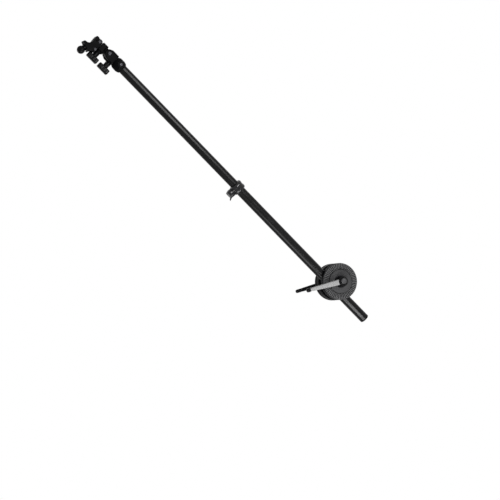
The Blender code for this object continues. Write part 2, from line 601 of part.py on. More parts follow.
def lower_boom(boom):
    """The outer tube with its tail plug, and the collar that locks the inner tube."""
    tube_top = COLLAR_DISTANCE + COLLAR_LENGTH / 2 - COLLAR_OVERHANG
    tube_start = TAIL_PLUG_FLANGE - TAIL_REACH + FACE_GAP
    bore = BOOM_RADIUS - OUTER_TUBE_WALL
    tube = solid("outer_tube", ring(bore, BOOM_RADIUS, tube_start, tube_top, FINE), BLACK_TUBE, boom)
    plug("tail_plug", BOOM_RADIUS, bore - BORE_GAP, -TAIL_REACH, TAIL_PLUG_FLANGE, TAIL_PLUG_DEPTH,
         TAIL_PLUG_WALL, NYLON, boom)

    seat = BOOM_RADIUS + BORE_GAP
    outer = seat + COLLAR_WALL
    half = COLLAR_LENGTH / 2
    band = COLLAR_BAND_LENGTH / 2
    lip_bore = INNER_TUBE_RADIUS + BORE_GAP
    lip_start = half - COLLAR_LIP
    profile = [(seat, -half), (outer - 0.002, -half), (outer, -band), (outer, band), (outer - 0.002, half)]
    profile += [(lip_bore, half), (lip_bore, lip_start), (seat, lip_start)]
    at_collar = (0, 0, COLLAR_DISTANCE)
    collar = solid("lock_collar", turned(profile, 40), NYLON, boom, at_collar)
    boss = rod(COLLAR_BOSS_RADIUS, BOOM_RADIUS + 0.002, COLLAR_BOSS_REACH, 24, 0.0008)
    screw_bore = COLLAR_SCREW_DIAMETER / 2 + BORE_GAP
    at_knob = (0, 0, COLLAR_DISTANCE + KNOB_PLACE)
    combine(collar, [tool(boss, boom, at_knob, lay=ACROSS)], "UNION")
    combine(collar, [tool(rod(screw_bore, 0.001, COLLAR_BOSS_REACH + 0.001), boom, at_knob, lay=ACROSS)])
    combine(tube, [tool(rod(screw_bore, 0.001, COLLAR_BOSS_REACH), boom, at_knob, lay=ACROSS)])
    bush_inner = INNER_TUBE_RADIUS + SLIDE_GAP
    bush = ring(bush_inner, seat - BORE_GAP, tube_top + FACE_GAP, COLLAR_DISTANCE + lip_start - FACE_GAP, 40)
    solid("collar_bush", bush, GREY_NYLON, boom)

    knob_axis = empty("collar_knob_axis", boom, at_knob)
    knob_start = COLLAR_BOSS_REACH + FACE_GAP
    knob_end = knob_start + KNOB_LENGTH
    screw_end = knob_start + KNOB_LENGTH * 0.5
    screw = rod(COLLAR_SCREW_DIAMETER / 2, INNER_TUBE_RADIUS + SLIDE_GAP, screw_end, SMALL, 0.0004)
    solid("collar_screw", screw, STEEL, knob_axis, lay=ACROSS)
    profile = [(0, screw_end + FACE_GAP), (screw_bore, screw_end + FACE_GAP), (screw_bore, knob_start)]
    profile += [(KNOB_BASE_RADIUS - 0.0015, knob_start), (KNOB_BASE_RADIUS, knob_start + 0.002)]
    profile += [(KNOB_END_RADIUS + 0.0006, knob_end - 0.002), (KNOB_END_RADIUS - 0.001, knob_end),
                (0, knob_end)]
    knob = solid("collar_knob", turned(profile, 24), NYLON, knob_axis, lay=ACROSS)
    wing_low = knob_end - KNOB_WING_HEIGHT
    spur = knob_end + KNOB_SPUR_HEIGHT
    rim = knob_end + 0.0008
    outline = [(-wing_low, KNOB_WING_SHORT), (-wing_low, -KNOB_WING_LONG), (-spur, -KNOB_SPUR_REACH)]
    outline += [(-spur, KNOB_SPUR_WIDTH - KNOB_SPUR_REACH), (-rim, 0.003 - KNOB_WING_LONG),
                (-rim, KNOB_WING_SHORT)]
    wing = plate(outline, -KNOB_WING_THICKNESS / 2, KNOB_WING_THICKNESS / 2)
    combine(knob, [tool(wing, knob_axis)], "UNION")


def upper_boom(inner):
    """The inner tube with the fitting that carries the clamp head."""
    tube_end = INNER_TUBE_END + TUBE_IN_FITTING
    tube_start = COLLAR_DISTANCE + COLLAR_LENGTH / 2 - INNER_TUBE_OVERLAP
    bore = INNER_TUBE_RADIUS - INNER_TUBE_WALL
    tube = solid("inner_tube", ring(bore, INNER_TUBE_RADIUS, tube_start, tube_end, FINE), BLACK_TUBE, inner)
    flange = TAIL_PLUG_FLANGE
    plug("guide_plug", INNER_TUBE_RADIUS, bore - BORE_GAP, tube_start - flange - FACE_GAP, flange,
         GUIDE_BUSH_LENGTH, GUIDE_BUSH_WALL, GREY_NYLON, inner)

    socket = INNER_TUBE_RADIUS + BORE_GAP
    floor = TUBE_IN_FITTING + FACE_GAP
    spigot_end = FITTING_LENGTH + BLOCK_SEAM + SPIGOT_LENGTH
    profile = [(0, floor), (socket, floor), (socket, 0), (FITTING_MOUTH_RADIUS, 0),
               (FITTING_RADIUS - 0.0014, 0.0028)]
    profile += [(FITTING_RADIUS, 0.0080), (FITTING_RADIUS, 0.0185), (FITTING_RADIUS - 0.0012, 0.0232)]
    profile += [(FITTING_NECK_RADIUS, FITTING_LENGTH)]
    profile += spigot(FITTING_LENGTH, FITTING_LENGTH + BLOCK_SEAM + SWIVEL_KNOB_PLACE, spigot_end)
    at_fitting = (0, 0, FITTING_START)
    fitting = solid("end_fitting", turned(profile, MEDIUM), CASTING, inner, at_fitting)
    at_bolt = (0, 0, FITTING_START + CROSS_BOLT_PLACE)
    for lay in (TO_VIEWER, TO_BACK):
        boss = rod(CROSS_BOSS_RADIUS, INNER_TUBE_RADIUS + 0.002, CROSS_BOSS_REACH, 24, 0.0006)
        combine(fitting, [tool(boss, inner, at_bolt, lay=lay)], "UNION")
    reach = CROSS_BOSS_REACH + 0.001
    bolt_bore = CROSS_BOLT_DIAMETER / 2 + BORE_GAP
    combine(fitting, [tool(rod(bolt_bore, -reach, reach, 16), inner, at_bolt, lay=TO_VIEWER)])
    combine(tube, [tool(rod(bolt_bore, -reach, reach, 16), inner, at_bolt, lay=TO_VIEWER)])
    head_seat = CROSS_BOSS_REACH + FACE_GAP
    bolt_and_nut("fitting_bolt", "fitting_nut", CROSS_BOLT_DIAMETER / 2, CROSS_BOLT_HEAD_RADIUS,
                 CROSS_BOLT_HEAD_HEIGHT, head_seat, inner, at_bolt)


def spigot(start, groove, end):
    """The profile of a locking spigot: a plain pin with a groove that its set screw bites into."""
    neck = SPIGOT_RADIUS - SPIGOT_GROOVE_DEPTH
    half = SPIGOT_GROOVE_WIDTH / 2
    profile = [(SPIGOT_RADIUS, start), (SPIGOT_RADIUS, groove - half),
               (neck, groove - half + SPIGOT_GROOVE_DEPTH / 2)]
    profile += [(neck, groove + half - SPIGOT_GROOVE_DEPTH / 2), (SPIGOT_RADIUS, groove + half)]
    profile += [(SPIGOT_RADIUS, end - 0.0006), (SPIGOT_RADIUS - 0.0006, end), (0, end)]
    return profile


def bolt_and_nut(bolt_name, nut_name, radius, head_radius, head_height, seat, parent, place):
    """A cross bolt along the disc axis: button head to the viewer, hexagon nut at the back."""
    nut_height = head_height * 1.4
    bolt = [(0, -(seat + nut_height + 0.0008)), (radius, -(seat + nut_height + 0.0008)), (radius, seat)]
    bolt += [(head_radius, seat), (head_radius, seat + head_height * 0.5)]
    bolt += [(head_radius * 0.7, seat + head_height), (0, seat + head_height)]
    solid(bolt_name, turned(bolt, SMALL), STEEL, parent, place, lay=TO_VIEWER)
    nut = solid(nut_name, rod(head_radius * 1.12, -(seat + nut_height), -seat, 6), STEEL, parent, place,
                lay=TO_VIEWER)
    hole = rod(radius + BORE_GAP, -(seat + nut_height + 0.001), -seat + 0.001, 16)
    combine(nut, [tool(hole, parent, place, lay=TO_VIEWER)])


def t_knob(name, screw_name, screw_tip, parent, place):
    """A T-knob across the boom: a round neck and a bar, moulded on a set screw."""
    axis = empty(name + "_axis", parent, (0, 0, place))
    start = T_BOSS_REACH + FACE_GAP
    screw_end = start + T_SCREW_IN_KNOB
    bore = T_SCREW_DIAMETER / 2 + BORE_GAP
    shoulder = SPIGOT_RADIUS + BORE_GAP
    screw = [(0, screw_tip), (T_SCREW_DIAMETER / 4, screw_tip), (T_SCREW_DIAMETER / 4, shoulder)]
    screw += [(T_SCREW_DIAMETER / 2, shoulder + 0.0008), (T_SCREW_DIAMETER / 2, screw_end), (0, screw_end)]
    solid(screw_name, turned(screw, 16), STEEL, axis, lay=ACROSS)
    neck = [(0, screw_end + FACE_GAP), (bore, screw_end + FACE_GAP), (bore, start), (T_NECK_RADIUS, start)]
    neck += [(T_NECK_RADIUS, T_BAR_NEAR + 0.002), (0, T_BAR_NEAR + 0.002)]
    knob = solid(name, turned(neck, SMALL), NYLON, axis, lay=ACROSS)
    half = T_BAR_LENGTH / 2
    bar = tool(
        block((-T_BAR_FAR, -T_BAR_WIDTH / 2, -half), (-T_BAR_NEAR, T_BAR_WIDTH / 2, half)), axis,
    )
    soften(bar, T_BAR_EDGE)
    combine(knob, [bar], "UNION")


def swivel_and_tilt(swivel, tilt):
    """The block that turns on the end fitting, and the knuckle that tilts between its ears."""
    slot_floor = TILT_DISTANCE - EAR_RADIUS - FACE_GAP
    shoulder = TILT_DISTANCE - BLOCK_SHOULDER
    outline = [(-BLOCK_HALF_WIDTH, 0), (BLOCK_HALF_WIDTH, 0), (BLOCK_HALF_WIDTH, shoulder)]
    outline += arc((0, TILT_DISTANCE), EAR_RADIUS, 55, -55, 10)
    outline += [(-BLOCK_HALF_WIDTH, shoulder)]
    body = solid("swivel_block", plate(outline, -BLOCK_HALF_DEPTH, BLOCK_HALF_DEPTH), CASTING, swivel)
    soften(body, 0.0016)
    at_knob = (0, 0, SWIVEL_KNOB_PLACE)
    boss = rod(T_BOSS_RADIUS, BLOCK_HALF_WIDTH - 0.003, T_BOSS_REACH, 24, 0.0006)
    combine(body, [tool(boss, swivel, at_knob, lay=ACROSS)], "UNION")
    slot = block(
        (-BLOCK_HALF_WIDTH * 1.5, -EAR_INNER_FACE, slot_floor),
        (BLOCK_HALF_WIDTH * 1.5, EAR_INNER_FACE, TILT_DISTANCE + EAR_RADIUS * 1.5),
    )
    bolt_bore = TILT_BOLT_DIAMETER / 2 + BORE_GAP
    screw_bore = T_SCREW_DIAMETER / 2 + BORE_GAP
    combine(body, [
        tool(slot, swivel),
        tool(rod(SPIGOT_RADIUS + BORE_GAP, -0.001, SPIGOT_LENGTH + FACE_GAP), swivel),
        tool(rod(screw_bore, 0.001, T_BOSS_REACH + 0.001, 16), swivel, at_knob, lay=ACROSS),
        tool(rod(bolt_bore, -BLOCK_HALF_DEPTH * 1.5, BLOCK_HALF_DEPTH * 1.5, 16), swivel,
             (0, 0, TILT_DISTANCE),
             lay=TO_VIEWER),
    ])
    bolt_and_nut("tilt_bolt", "tilt_nut", TILT_BOLT_DIAMETER / 2, TILT_HEAD_RADIUS, TILT_HEAD_HEIGHT,
                 BLOCK_HALF_DEPTH + FACE_GAP, swivel, (0, 0, TILT_DISTANCE))
    tip = SPIGOT_RADIUS - SPIGOT_GROOVE_DEPTH + BORE_GAP
    t_knob("swivel_knob", "swivel_screw", tip, swivel, SWIVEL_KNOB_PLACE)

    tongue_half = EAR_INNER_FACE - FACE_GAP
    flange_top = KNUCKLE_FLANGE_START + KNUCKLE_FLANGE_THICKNESS
    tongue_radius = EAR_RADIUS - FACE_GAP
    outline = arc((0, 0), tongue_radius, 50, 310, 18)
    outline += [(-tongue_radius * math.sin(math.radians(50)), KNUCKLE_FLANGE_START + 0.0005)]
    outline += [(tongue_radius * math.sin(math.radians(50)), KNUCKLE_FLANGE_START + 0.0005)]
    profile = [(0, KNUCKLE_FLANGE_START), (KNUCKLE_FLANGE_RADIUS - 0.0006, KNUCKLE_FLANGE_START)]
    profile += [(KNUCKLE_FLANGE_RADIUS, KNUCKLE_FLANGE_START + 0.0006), (KNUCKLE_FLANGE_RADIUS, flange_top)]
    profile += spigot(flange_top, HUB_START + HUB_KNOB_PLACE, HUB_START + HUB_SPIGOT_LENGTH)
    knuckle = solid("tilt_knuckle", turned(profile, MEDIUM), CASTING, tilt)
    combine(knuckle, [tool(plate(outline, -tongue_half, tongue_half), tilt)], "UNION")
    combine(knuckle, [tool(rod(bolt_bore, -0.01, 0.01, 16), tilt, lay=TO_VIEWER)])


def lower_jaw_outline():
    """The outline of the fixed jaw: ears round the hinge, pinch face, hollow nose, lip and knob seat."""
    left = HINGE_PLACE - HINGE_RADIUS
    right = HINGE_PLACE + HINGE_RADIUS
    nose_start = math.degrees(math.acos((PINCH_HEIGHT - NOSE_CENTRE_HEIGHT) / NOSE_RADIUS))
    outline = [(HINGE_HEIGHT + HINGE_RADIUS * math.sin(math.radians(angle)),
                HINGE_PLACE - HINGE_RADIUS * math.cos(math.radians(angle))) for angle in range(0, 181, 15)]
    outline += [(PINCH_HEIGHT, right)]
    for index in range(11):
        angle = math.radians(nose_start + (180 - nose_start) * index / 10)
        outline.append((NOSE_CENTRE_HEIGHT + NOSE_RADIUS * math.cos(angle),
                        NOSE_CENTRE_PLACE - NOSE_RADIUS * math.sin(angle)))
    for angle in range(20, 141, 20):
        turn = math.radians(angle)
        outline.append((LIP_HEIGHT + LIP_RADIUS * math.cos(turn), LIP_PLACE + LIP_RADIUS * math.sin(turn)))
    slope = math.tan(GAP_SCREW_TILT)
    seat_place = GAP_KNOB_PLACE - (GAP_SEAT_HEIGHT - GAP_KNOB_HEIGHT) * slope
    half_seat = GAP_KNOB_NECK_RADIUS + 0.0005
    outline.append((GAP_SEAT_HEIGHT + half_seat * math.sin(GAP_SCREW_TILT),
                    seat_place + half_seat * math.cos(GAP_SCREW_TILT)))
    outline.append((GAP_SEAT_HEIGHT - half_seat * math.sin(GAP_SCREW_TILT),
                    seat_place - half_seat * math.cos(GAP_SCREW_TILT)))
    clear_of_knob = HUB_KNOB_PLACE + math.hypot(T_BAR_LENGTH, T_BAR_WIDTH) / 2 + GUARD_GAP
    guard_left = seat_place - half_seat
    outline.append((GUARD_BOTTOM, guard_left - GUARD_GAP))
    outline.append((GUARD_BOTTOM, clear_of_knob + GUARD_GAP))
    outline.append((GUARD_BOTTOM + GUARD_GAP, clear_of_knob))
    outline.append((LOWER_JAW_BOTTOM, clear_of_knob))
    outline.append((LOWER_JAW_BOTTOM, left + 0.0015))
    outline.append((LOWER_JAW_BOTTOM + 0.0015, left))
    return outline


def jaw_head(jaw, hinge):
    """The hub that turns on the knuckle, the fixed lower jaw, the hinged upper jaw and the gap screw."""
    cut = HUB_BLOCK_HALF_WIDTH
    hub_outline = [(-cut, 0), (cut, 0), (cut, HUB_BLOCK_LENGTH), (-cut, HUB_BLOCK_LENGTH)]
    hub = solid("jaw_hub", plate(hub_outline, -cut, cut), CASTING, jaw)
    soften(hub, 0.0018)
    at_knob = (0, 0, HUB_KNOB_PLACE)
    boss = rod(T_BOSS_RADIUS, cut - 0.003, T_BOSS_REACH, 24, 0.0006)
    tongue_top = HINGE_HEIGHT - (JAW_TOP - HINGE_HEIGHT) - 0.0010
    tongue_left = HUB_KNOB_PLACE + T_NECK_RADIUS + 0.0006
    tongue_bottom = LOWER_JAW_BOTTOM + 0.003
    tongue = plate([
        (tongue_top, HUB_BLOCK_LENGTH - 0.002), (tongue_top, HUB_TONGUE_REACH),
        (tongue_bottom, HUB_TONGUE_REACH),
        (tongue_bottom, tongue_left), (-cut, tongue_left), (-cut, HUB_BLOCK_LENGTH - 0.002),
    ], -HUB_TONGUE_HALF_WIDTH, HUB_TONGUE_HALF_WIDTH)
    combine(hub, [tool(boss, jaw, at_knob, lay=ACROSS), tool(tongue, jaw)], "UNION")
    jaw_bolt = (JAW_BOLT_HEIGHT, 0, JAW_BOLT_PLACE)
    bolt_bore = JAW_BOLT_DIAMETER / 2 + BORE_GAP
    screw_bore = T_SCREW_DIAMETER / 2 + BORE_GAP
    reach = JAW_HALF_WIDTH * 1.5
    combine(hub, [
        tool(rod(SPIGOT_RADIUS + BORE_GAP, -0.001, HUB_SPIGOT_LENGTH + FACE_GAP), jaw),
        tool(rod(screw_bore, 0.001, T_BOSS_REACH + 0.001, 16), jaw, at_knob, lay=ACROSS),
        tool(rod(bolt_bore, -reach, reach, 16), jaw, jaw_bolt, lay=TO_VIEWER),
    ])
    tip = SPIGOT_RADIUS - SPIGOT_GROOVE_DEPTH + BORE_GAP
    t_knob("jaw_knob", "jaw_screw", tip, jaw, HUB_KNOB_PLACE)

    lower = solid("lower_jaw", plate(lower_jaw_outline(), -JAW_HALF_WIDTH, JAW_HALF_WIDTH), CASTING, jaw)
    web_half = JAW_WEB_HALF_WIDTH + FACE_GAP
    slot_half = HUB_TONGUE_HALF_WIDTH + FACE_GAP
    web_floor = tongue_top + FACE_GAP
    web_end = HINGE_PLACE + HINGE_RADIUS + 0.0008
    pin_bore = HINGE_PIN_DIAMETER / 2 + BORE_GAP
    at_hinge = (HINGE_HEIGHT, 0, HINGE_PLACE)
    gap_turn = (0, math.radians(90) + GAP_SCREW_TILT, 0)
    at_gap = (GAP_KNOB_HEIGHT, 0, GAP_KNOB_PLACE)
    gap_bore = GAP_SCREW_DIAMETER / 2 + BORE_GAP
    combine(lower, [
        tool(block((LOWER_JAW_BOTTOM - 0.002, -slot_half, 0.010),
                   (web_floor + 0.001, slot_half, HUB_TONGUE_REACH + FACE_GAP)), jaw),
        tool(block((web_floor, -web_half, 0.010), (JAW_TOP + 0.002, web_half, web_end)), jaw),
        tool(rod(bolt_bore, -reach, reach, 16), jaw, jaw_bolt, lay=TO_VIEWER),
        tool(rod(pin_bore, -reach, reach, 16), jaw, at_hinge, lay=TO_VIEWER),
        tool(rod(gap_bore, 0, 0.060, 16), jaw, at_gap, gap_turn),
    ])
    bolt_and_nut("jaw_bolt", "jaw_nut", JAW_BOLT_DIAMETER / 2, JAW_BOLT_HEAD_RADIUS, JAW_BOLT_HEAD_HEIGHT,
                 JAW_HALF_WIDTH + FACE_GAP, jaw, jaw_bolt)
    head = JAW_HALF_WIDTH + FACE_GAP
    head_end = head + HINGE_PIN_HEAD_HEIGHT
    pin = [(0, -head_end), (HINGE_PIN_HEAD_RADIUS, -head_end), (HINGE_PIN_HEAD_RADIUS, -head)]
    pin += [(HINGE_PIN_DIAMETER / 2, -head), (HINGE_PIN_DIAMETER / 2, head), (HINGE_PIN_HEAD_RADIUS, head)]
    pin += [(HINGE_PIN_HEAD_RADIUS, head_end), (0, head_end)]
    solid("hinge_pin", turned(pin, SMALL), STEEL, jaw, at_hinge, lay=TO_VIEWER)

    pad_start = web_end + 0.0008
    nose_front = NOSE_CENTRE_PLACE - math.sqrt(NOSE_RADIUS ** 2 - (PINCH_HEIGHT - NOSE_CENTRE_HEIGHT) ** 2)
    pad_end = nose_front - 0.0004
    pad_low = PINCH_HEIGHT + FACE_GAP
    pad_half = JAW_HALF_WIDTH - 0.0008
    lower_pad = solid("lower_pad", block(
        (pad_low, -pad_half, pad_start), (pad_low + PAD_THICKNESS, pad_half, pad_end)), RUBBER, jaw)
    combine(lower_pad, [tool(rod(gap_bore, 0, 0.060, 16), jaw, at_gap, gap_turn)])
    upper_low = pad_low + PAD_THICKNESS + FACE_GAP
    jaw_floor = upper_low + PAD_THICKNESS + FACE_GAP
    upper_pad = block((upper_low, -pad_half, pad_start), (upper_low + PAD_THICKNESS, pad_half, pad_end))
    solid("upper_pad", upper_pad, RUBBER, hinge, (-HINGE_HEIGHT, 0, -HINGE_PLACE))

    eye = JAW_TOP - HINGE_HEIGHT
    outline = [(eye * math.cos(math.radians(angle)), -eye * math.sin(math.radians(angle)))
               for angle in range(0, 181, 15)]
    floor_here = jaw_floor - HINGE_HEIGHT
    end_here = nose_front + 0.0001 - HINGE_PLACE
    outline += [(floor_here, eye * 0.75), (floor_here, end_here),
                (NOSE_HEIGHT_START - 0.0028 - HINGE_HEIGHT, end_here)]
    outline += [(eye - 0.0007, end_here - 0.0010), (eye, end_here - 0.0026)]
    upper = solid("upper_jaw", plate(outline, -JAW_WEB_HALF_WIDTH, JAW_WEB_HALF_WIDTH), CASTING, hinge)
    wide_start = web_end - HINGE_PLACE + FACE_GAP
    cheek = [(floor_here, wide_start), (floor_here, end_here),
             (NOSE_HEIGHT_START - 0.0028 - HINGE_HEIGHT, end_here)]
    cheek += [(eye - 0.0007, end_here - 0.0010), (eye, end_here - 0.0026), (eye, wide_start)]
    combine(upper, [tool(plate(cheek, -JAW_HALF_WIDTH, JAW_HALF_WIDTH), hinge)], "UNION")
    spring_slot = CLOSING_SPRING_WIRE * 1.5 + HINGE_PIN_DIAMETER / 2 + 0.001
    combine(upper, [
        tool(rod(pin_bore, -reach, reach, 16), hinge, lay=TO_VIEWER),
        tool(rod(spring_slot, -SPRING_SLOT_HALF_WIDTH, SPRING_SLOT_HALF_WIDTH, SMALL), hinge, lay=TO_VIEWER),
        tool(block((-eye - 0.002, -SPRING_SLOT_HALF_WIDTH, -spring_slot * 0.9),
                   (0, SPRING_SLOT_HALF_WIDTH, spring_slot * 0.9)), hinge),
    ])
    spring_radius = HINGE_PIN_DIAMETER / 2 + CLOSING_SPRING_WIRE / 2 + BORE_GAP
    spring_length = 2 * SPRING_SLOT_HALF_WIDTH - 2 * FACE_GAP
    coil("closing_spring", spring_radius, CLOSING_SPRING_WIRE, spring_length, CLOSING_SPRING_TURNS, STEEL, jaw,
         (HINGE_HEIGHT, spring_length / 2, HINGE_PLACE), TO_VIEWER.to_3x3())

    gap = empty("gap_knob_axis", jaw, at_gap, gap_turn)
    cosine = math.cos(GAP_SCREW_TILT)
    seat = (GAP_SEAT_HEIGHT - GAP_KNOB_HEIGHT) / cosine - FACE_GAP
    screw_low = -0.003
    screw_top = (pad_low + PAD_THICKNESS * 0.3 - GAP_KNOB_HEIGHT) / cosine
    solid("gap_screw", rod(GAP_SCREW_DIAMETER / 2, screw_low, screw_top, 16, 0.0004), STEEL, gap)
    profile = [(0, -GAP_KNOB_RADIUS * 0.92)]
    for angle in (-68, -50, -30, -10, 10, 30):
        turn = math.radians(angle)
        profile.append((GAP_KNOB_RADIUS * math.cos(turn), GAP_KNOB_RADIUS * math.sin(turn)))
    profile += [(GAP_KNOB_NECK_RADIUS, GAP_KNOB_RADIUS * 0.8), (GAP_KNOB_NECK_RADIUS, seat), (gap_bore, seat)]
    profile += [(gap_bore, screw_low - FACE_GAP), (0, screw_low - FACE_GAP)]
    solid("gap_knob", turned(profile, 24), NYLON, gap)


def build():
    """Make the whole bracket, from the stand outwards."""
    stand_clamp()
    clamp = empty("clamp_axis", None, (0, BOOM_PLANE, DISC_AXIS_HEIGHT),
                  (0, BOOM_ANGLE - math.radians(90), 0))
    grip_head(clamp)
    boom = empty("boom_axis", clamp, (-STUD_OFFSET, 0, 0))
    lower_boom(boom)
    upper_boom(boom)
    swivel = empty("swivel_axis", boom, (0, 0, BLOCK_START))
    tilt = empty("tilt_axis", boom, (0, 0, TILT_CENTRE))
    swivel_and_tilt(swivel, tilt)
    jaw = empty("jaw_axis", boom, (0, 0, TILT_CENTRE + HUB_START))
    hinge = empty("hinge_axis", jaw, (HINGE_HEIGHT, 0, HINGE_PLACE))
    jaw_head(jaw, hinge)


clear_scene()
GUIDE = material("guide", (0.8, 0.2, 0.1), 0.5)
CASTING = material("black_casting", (0.035, 0.035, 0.038), 0.55, 0.3)
NYLON = material("black_nylon", (0.02, 0.02, 0.022), 0.5)
GREY_NYLON = material("grey_nylon", (0.12, 0.12, 0.12), 0.5)
BLACK_TUBE = material("black_tube", (0.025, 0.025, 0.027), 0.35, 0.4)
LIGHT_METAL = material("light_metal", (0.42, 0.42, 0.42), 0.6, 0.3)
STEEL = material("steel", (0.45, 0.45, 0.46), 0.35, 1.0)
BRASS = material("brass", (0.6, 0.45, 0.2), 0.35, 1.0)
RUBBER = material("rubber", (0.015, 0.015, 0.015), 0.85)
build()
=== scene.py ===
"""Looks of the reflector bracket: finishes, finer pieces, camera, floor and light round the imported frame."""

import logging
import math
from dataclasses import dataclass
from enum import Enum
from typing import Iterable, Sequence

import bmesh
import bpy
from mathutils import Matrix, Vector


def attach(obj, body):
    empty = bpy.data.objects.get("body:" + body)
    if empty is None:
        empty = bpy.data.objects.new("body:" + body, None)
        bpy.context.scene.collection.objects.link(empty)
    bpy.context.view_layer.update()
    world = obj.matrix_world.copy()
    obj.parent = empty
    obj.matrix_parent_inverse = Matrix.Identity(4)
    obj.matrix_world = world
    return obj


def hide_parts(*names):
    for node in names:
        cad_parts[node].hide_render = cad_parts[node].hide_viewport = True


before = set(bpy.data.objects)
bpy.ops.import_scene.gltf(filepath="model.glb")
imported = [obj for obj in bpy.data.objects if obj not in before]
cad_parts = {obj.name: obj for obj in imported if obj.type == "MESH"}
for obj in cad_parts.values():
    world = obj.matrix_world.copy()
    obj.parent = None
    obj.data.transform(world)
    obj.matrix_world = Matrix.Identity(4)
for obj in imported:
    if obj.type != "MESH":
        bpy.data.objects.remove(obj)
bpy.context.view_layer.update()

LOG = logging.getLogger("reflector_bracket")
BOOM_ANGLE = math.radians(43.5)
BOOM_PLANE = -0.0461
DISC_AXIS_HEIGHT = 0.040
STUD_OFFSET = 0.0154
COLLAR_DISTANCE = 0.3500
COLLAR_HALF = 0.011
INNER_TUBE_SHOWN = 0.3992
FITTING_LENGTH = 0.0270
BLOCK_SEAM = 0.0010
TILT_DISTANCE = 0.0225
EAR_RADIUS = 0.0110
KNUCKLE_FLANGE = 0.0026
FACE_GAP = 0.0003
HEAD_START = COLLAR_DISTANCE + COLLAR_HALF + INNER_TUBE_SHOWN
BLOCK_START = HEAD_START + FITTING_LENGTH + BLOCK_SEAM
HUB_START = BLOCK_START + TILT_DISTANCE + EAR_RADIUS + FACE_GAP + KNUCKLE_FLANGE + FACE_GAP
WEAR_PAST_EASING = 1.3
LINE_HEIGHT = 1.6
DEEP_SHADE = 0.1
RUBBED_POLISH = 0.12
RELIEF_STRENGTH = 0.55
ON_AXIS = 1e-7
SHARP_EDGE = math.radians(32)
EASED_EDGE = math.radians(40)
LEAST_BEVEL_ANGLE = 30.0
WHITE = (1.0, 1.0, 1.0, 1.0)
CUT_PAST = 0.001

Points = Sequence[tuple[float, float]]
Sections = Sequence[tuple[float, ...]]


class Lay(Enum):
    """Which way a turned piece's own axis points inside its sub-assembly's frame."""

    TO_VIEWER = Matrix.Rotation(math.radians(90), 4, "X")
    TO_BACK = Matrix.Rotation(math.radians(-90), 4, "X")
    ACROSS = Matrix.Rotation(math.radians(-90), 4, "Y")


class Grain(Enum):
    """The fine relief of a finish, as (size in repeats to the metre, depth in metres)."""

    POWDER = (1500.0, 0.00007)
    SANDED = (2600.0, 0.00002)
    MOULDED = (2100.0, 0.000025)
    RUBBED = (900.0, 0.00006)


def clamp_frame() -> Matrix:
    """Give the disc axis's frame: X up and to the right, Z up along the boom."""
    turn = Matrix.Rotation(BOOM_ANGLE - math.radians(90), 4, "Y")
    return Matrix.Translation((0, BOOM_PLANE, DISC_AXIS_HEIGHT)) @ turn


def boom_frame(along: float = 0.0) -> Matrix:
    """Give a frame on the boom's own axis.

    Args:
        along: distance up the boom from the disc axis, in metres.

    Returns:
        The frame's matrix in the row frame.
    """
    return clamp_frame() @ Matrix.Translation((-STUD_OFFSET, 0, along))


def squared_ring(first: float, second: float, power: float, steps: int) -> list[tuple[float, float]]:
    """Give the points of a ring between a rectangle and an ellipse.

    Args:
        first: half its width along the first axis.
        second: half its width along the second axis.
        power: 1 for an ellipse and less for squarer corners.
        steps: points round the ring.

    Returns:
        The points.
    """
    points = []
    for turn in (math.tau * k / steps for k in range(steps)):
        cosine, sine = math.cos(turn), math.sin(turn)
        points.append((first * math.copysign(abs(cosine) ** power, cosine),
                       second * math.copysign(abs(sine) ** power, sine)))
    return points


class ShaderGraph:
    """Adds nodes to a shader tree and joins their sockets."""

    def __init__(self, tree: bpy.types.NodeTree) -> None:
        """Keep the tree that is being built."""
        self.tree = tree

    def feed(self, target: bpy.types.NodeSocket, value: object) -> None:
        """Join an output to an input, or set the input to a plain value."""
        if isinstance(value, bpy.types.NodeSocket):
            self.tree.links.new(value, target)
        else:
            target.default_value = value

    def add(self, kind: str, **settings: object) -> bpy.types.Node:
        """Add a node.

        Args:
            kind: the node's type name without its ShaderNode prefix.
            settings: attributes to set, or what an input takes when the name starts with an upper-case letter.

        Returns:
            The new node.
        """
        node = self.tree.nodes.new("ShaderNode" + kind)
        for name, value in settings.items():
            if name[0].isupper():
                self.feed(node.inputs[name], value)
            else:
                setattr(node, name, value)
        return node

    def maths(self, operation: str, first: object, second: object) -> bpy.types.NodeSocket:
        """Add a Math node.

        Args:
            operation: the Math node's operation.
            first: an output socket or a number.
            second: an output socket or a number.

        Returns:
            The node's result.
        """
        node = self.add("Math", operation=operation)
        self.feed(node.inputs[0], first)
        self.feed(node.inputs[1], second)
        return node.outputs[0]

    def spread(self, value: bpy.types.NodeSocket, low: float, high: float, to_low: float = 0.0,
               to_high: float = 1.0) -> bpy.types.NodeSocket:
        """Stretch a value from one range to another, clamped.

        Args:
            value: the socket to stretch.
            low: value that becomes to_low.
            high: value that becomes to_high.
            to_low: the result for low.
            to_high: the result for high.

        Returns:
            The stretched value.
        """
        node = self.add("MapRange", interpolation_type="SMOOTHSTEP", Value=value)
        for name, number in (("From Min", low), ("From Max", high), ("To Min", to_low), ("To Max", to_high)):
            node.inputs[name].default_value = number
        return node.outputs["Result"]

    def blend_colours(self, mask: bpy.types.NodeSocket, *pair: object) -> bpy.types.NodeSocket:
        """Mix two colours by a mask.

        Args:
            mask: 0 gives the first colour and 1 the second.
            pair: the two, each a colour or a socket.

        Returns:
            The mixed colour.
        """
        node = self.add("Mix", data_type="RGBA", Factor=mask)
        ends = [socket for socket in node.inputs if socket.type == "RGBA"]
        for socket, value in zip(ends, pair):
            self.feed(socket, value if isinstance(value, bpy.types.NodeSocket) else (*value, 1.0))
        return next(socket for socket in node.outputs if socket.type == "RGBA")


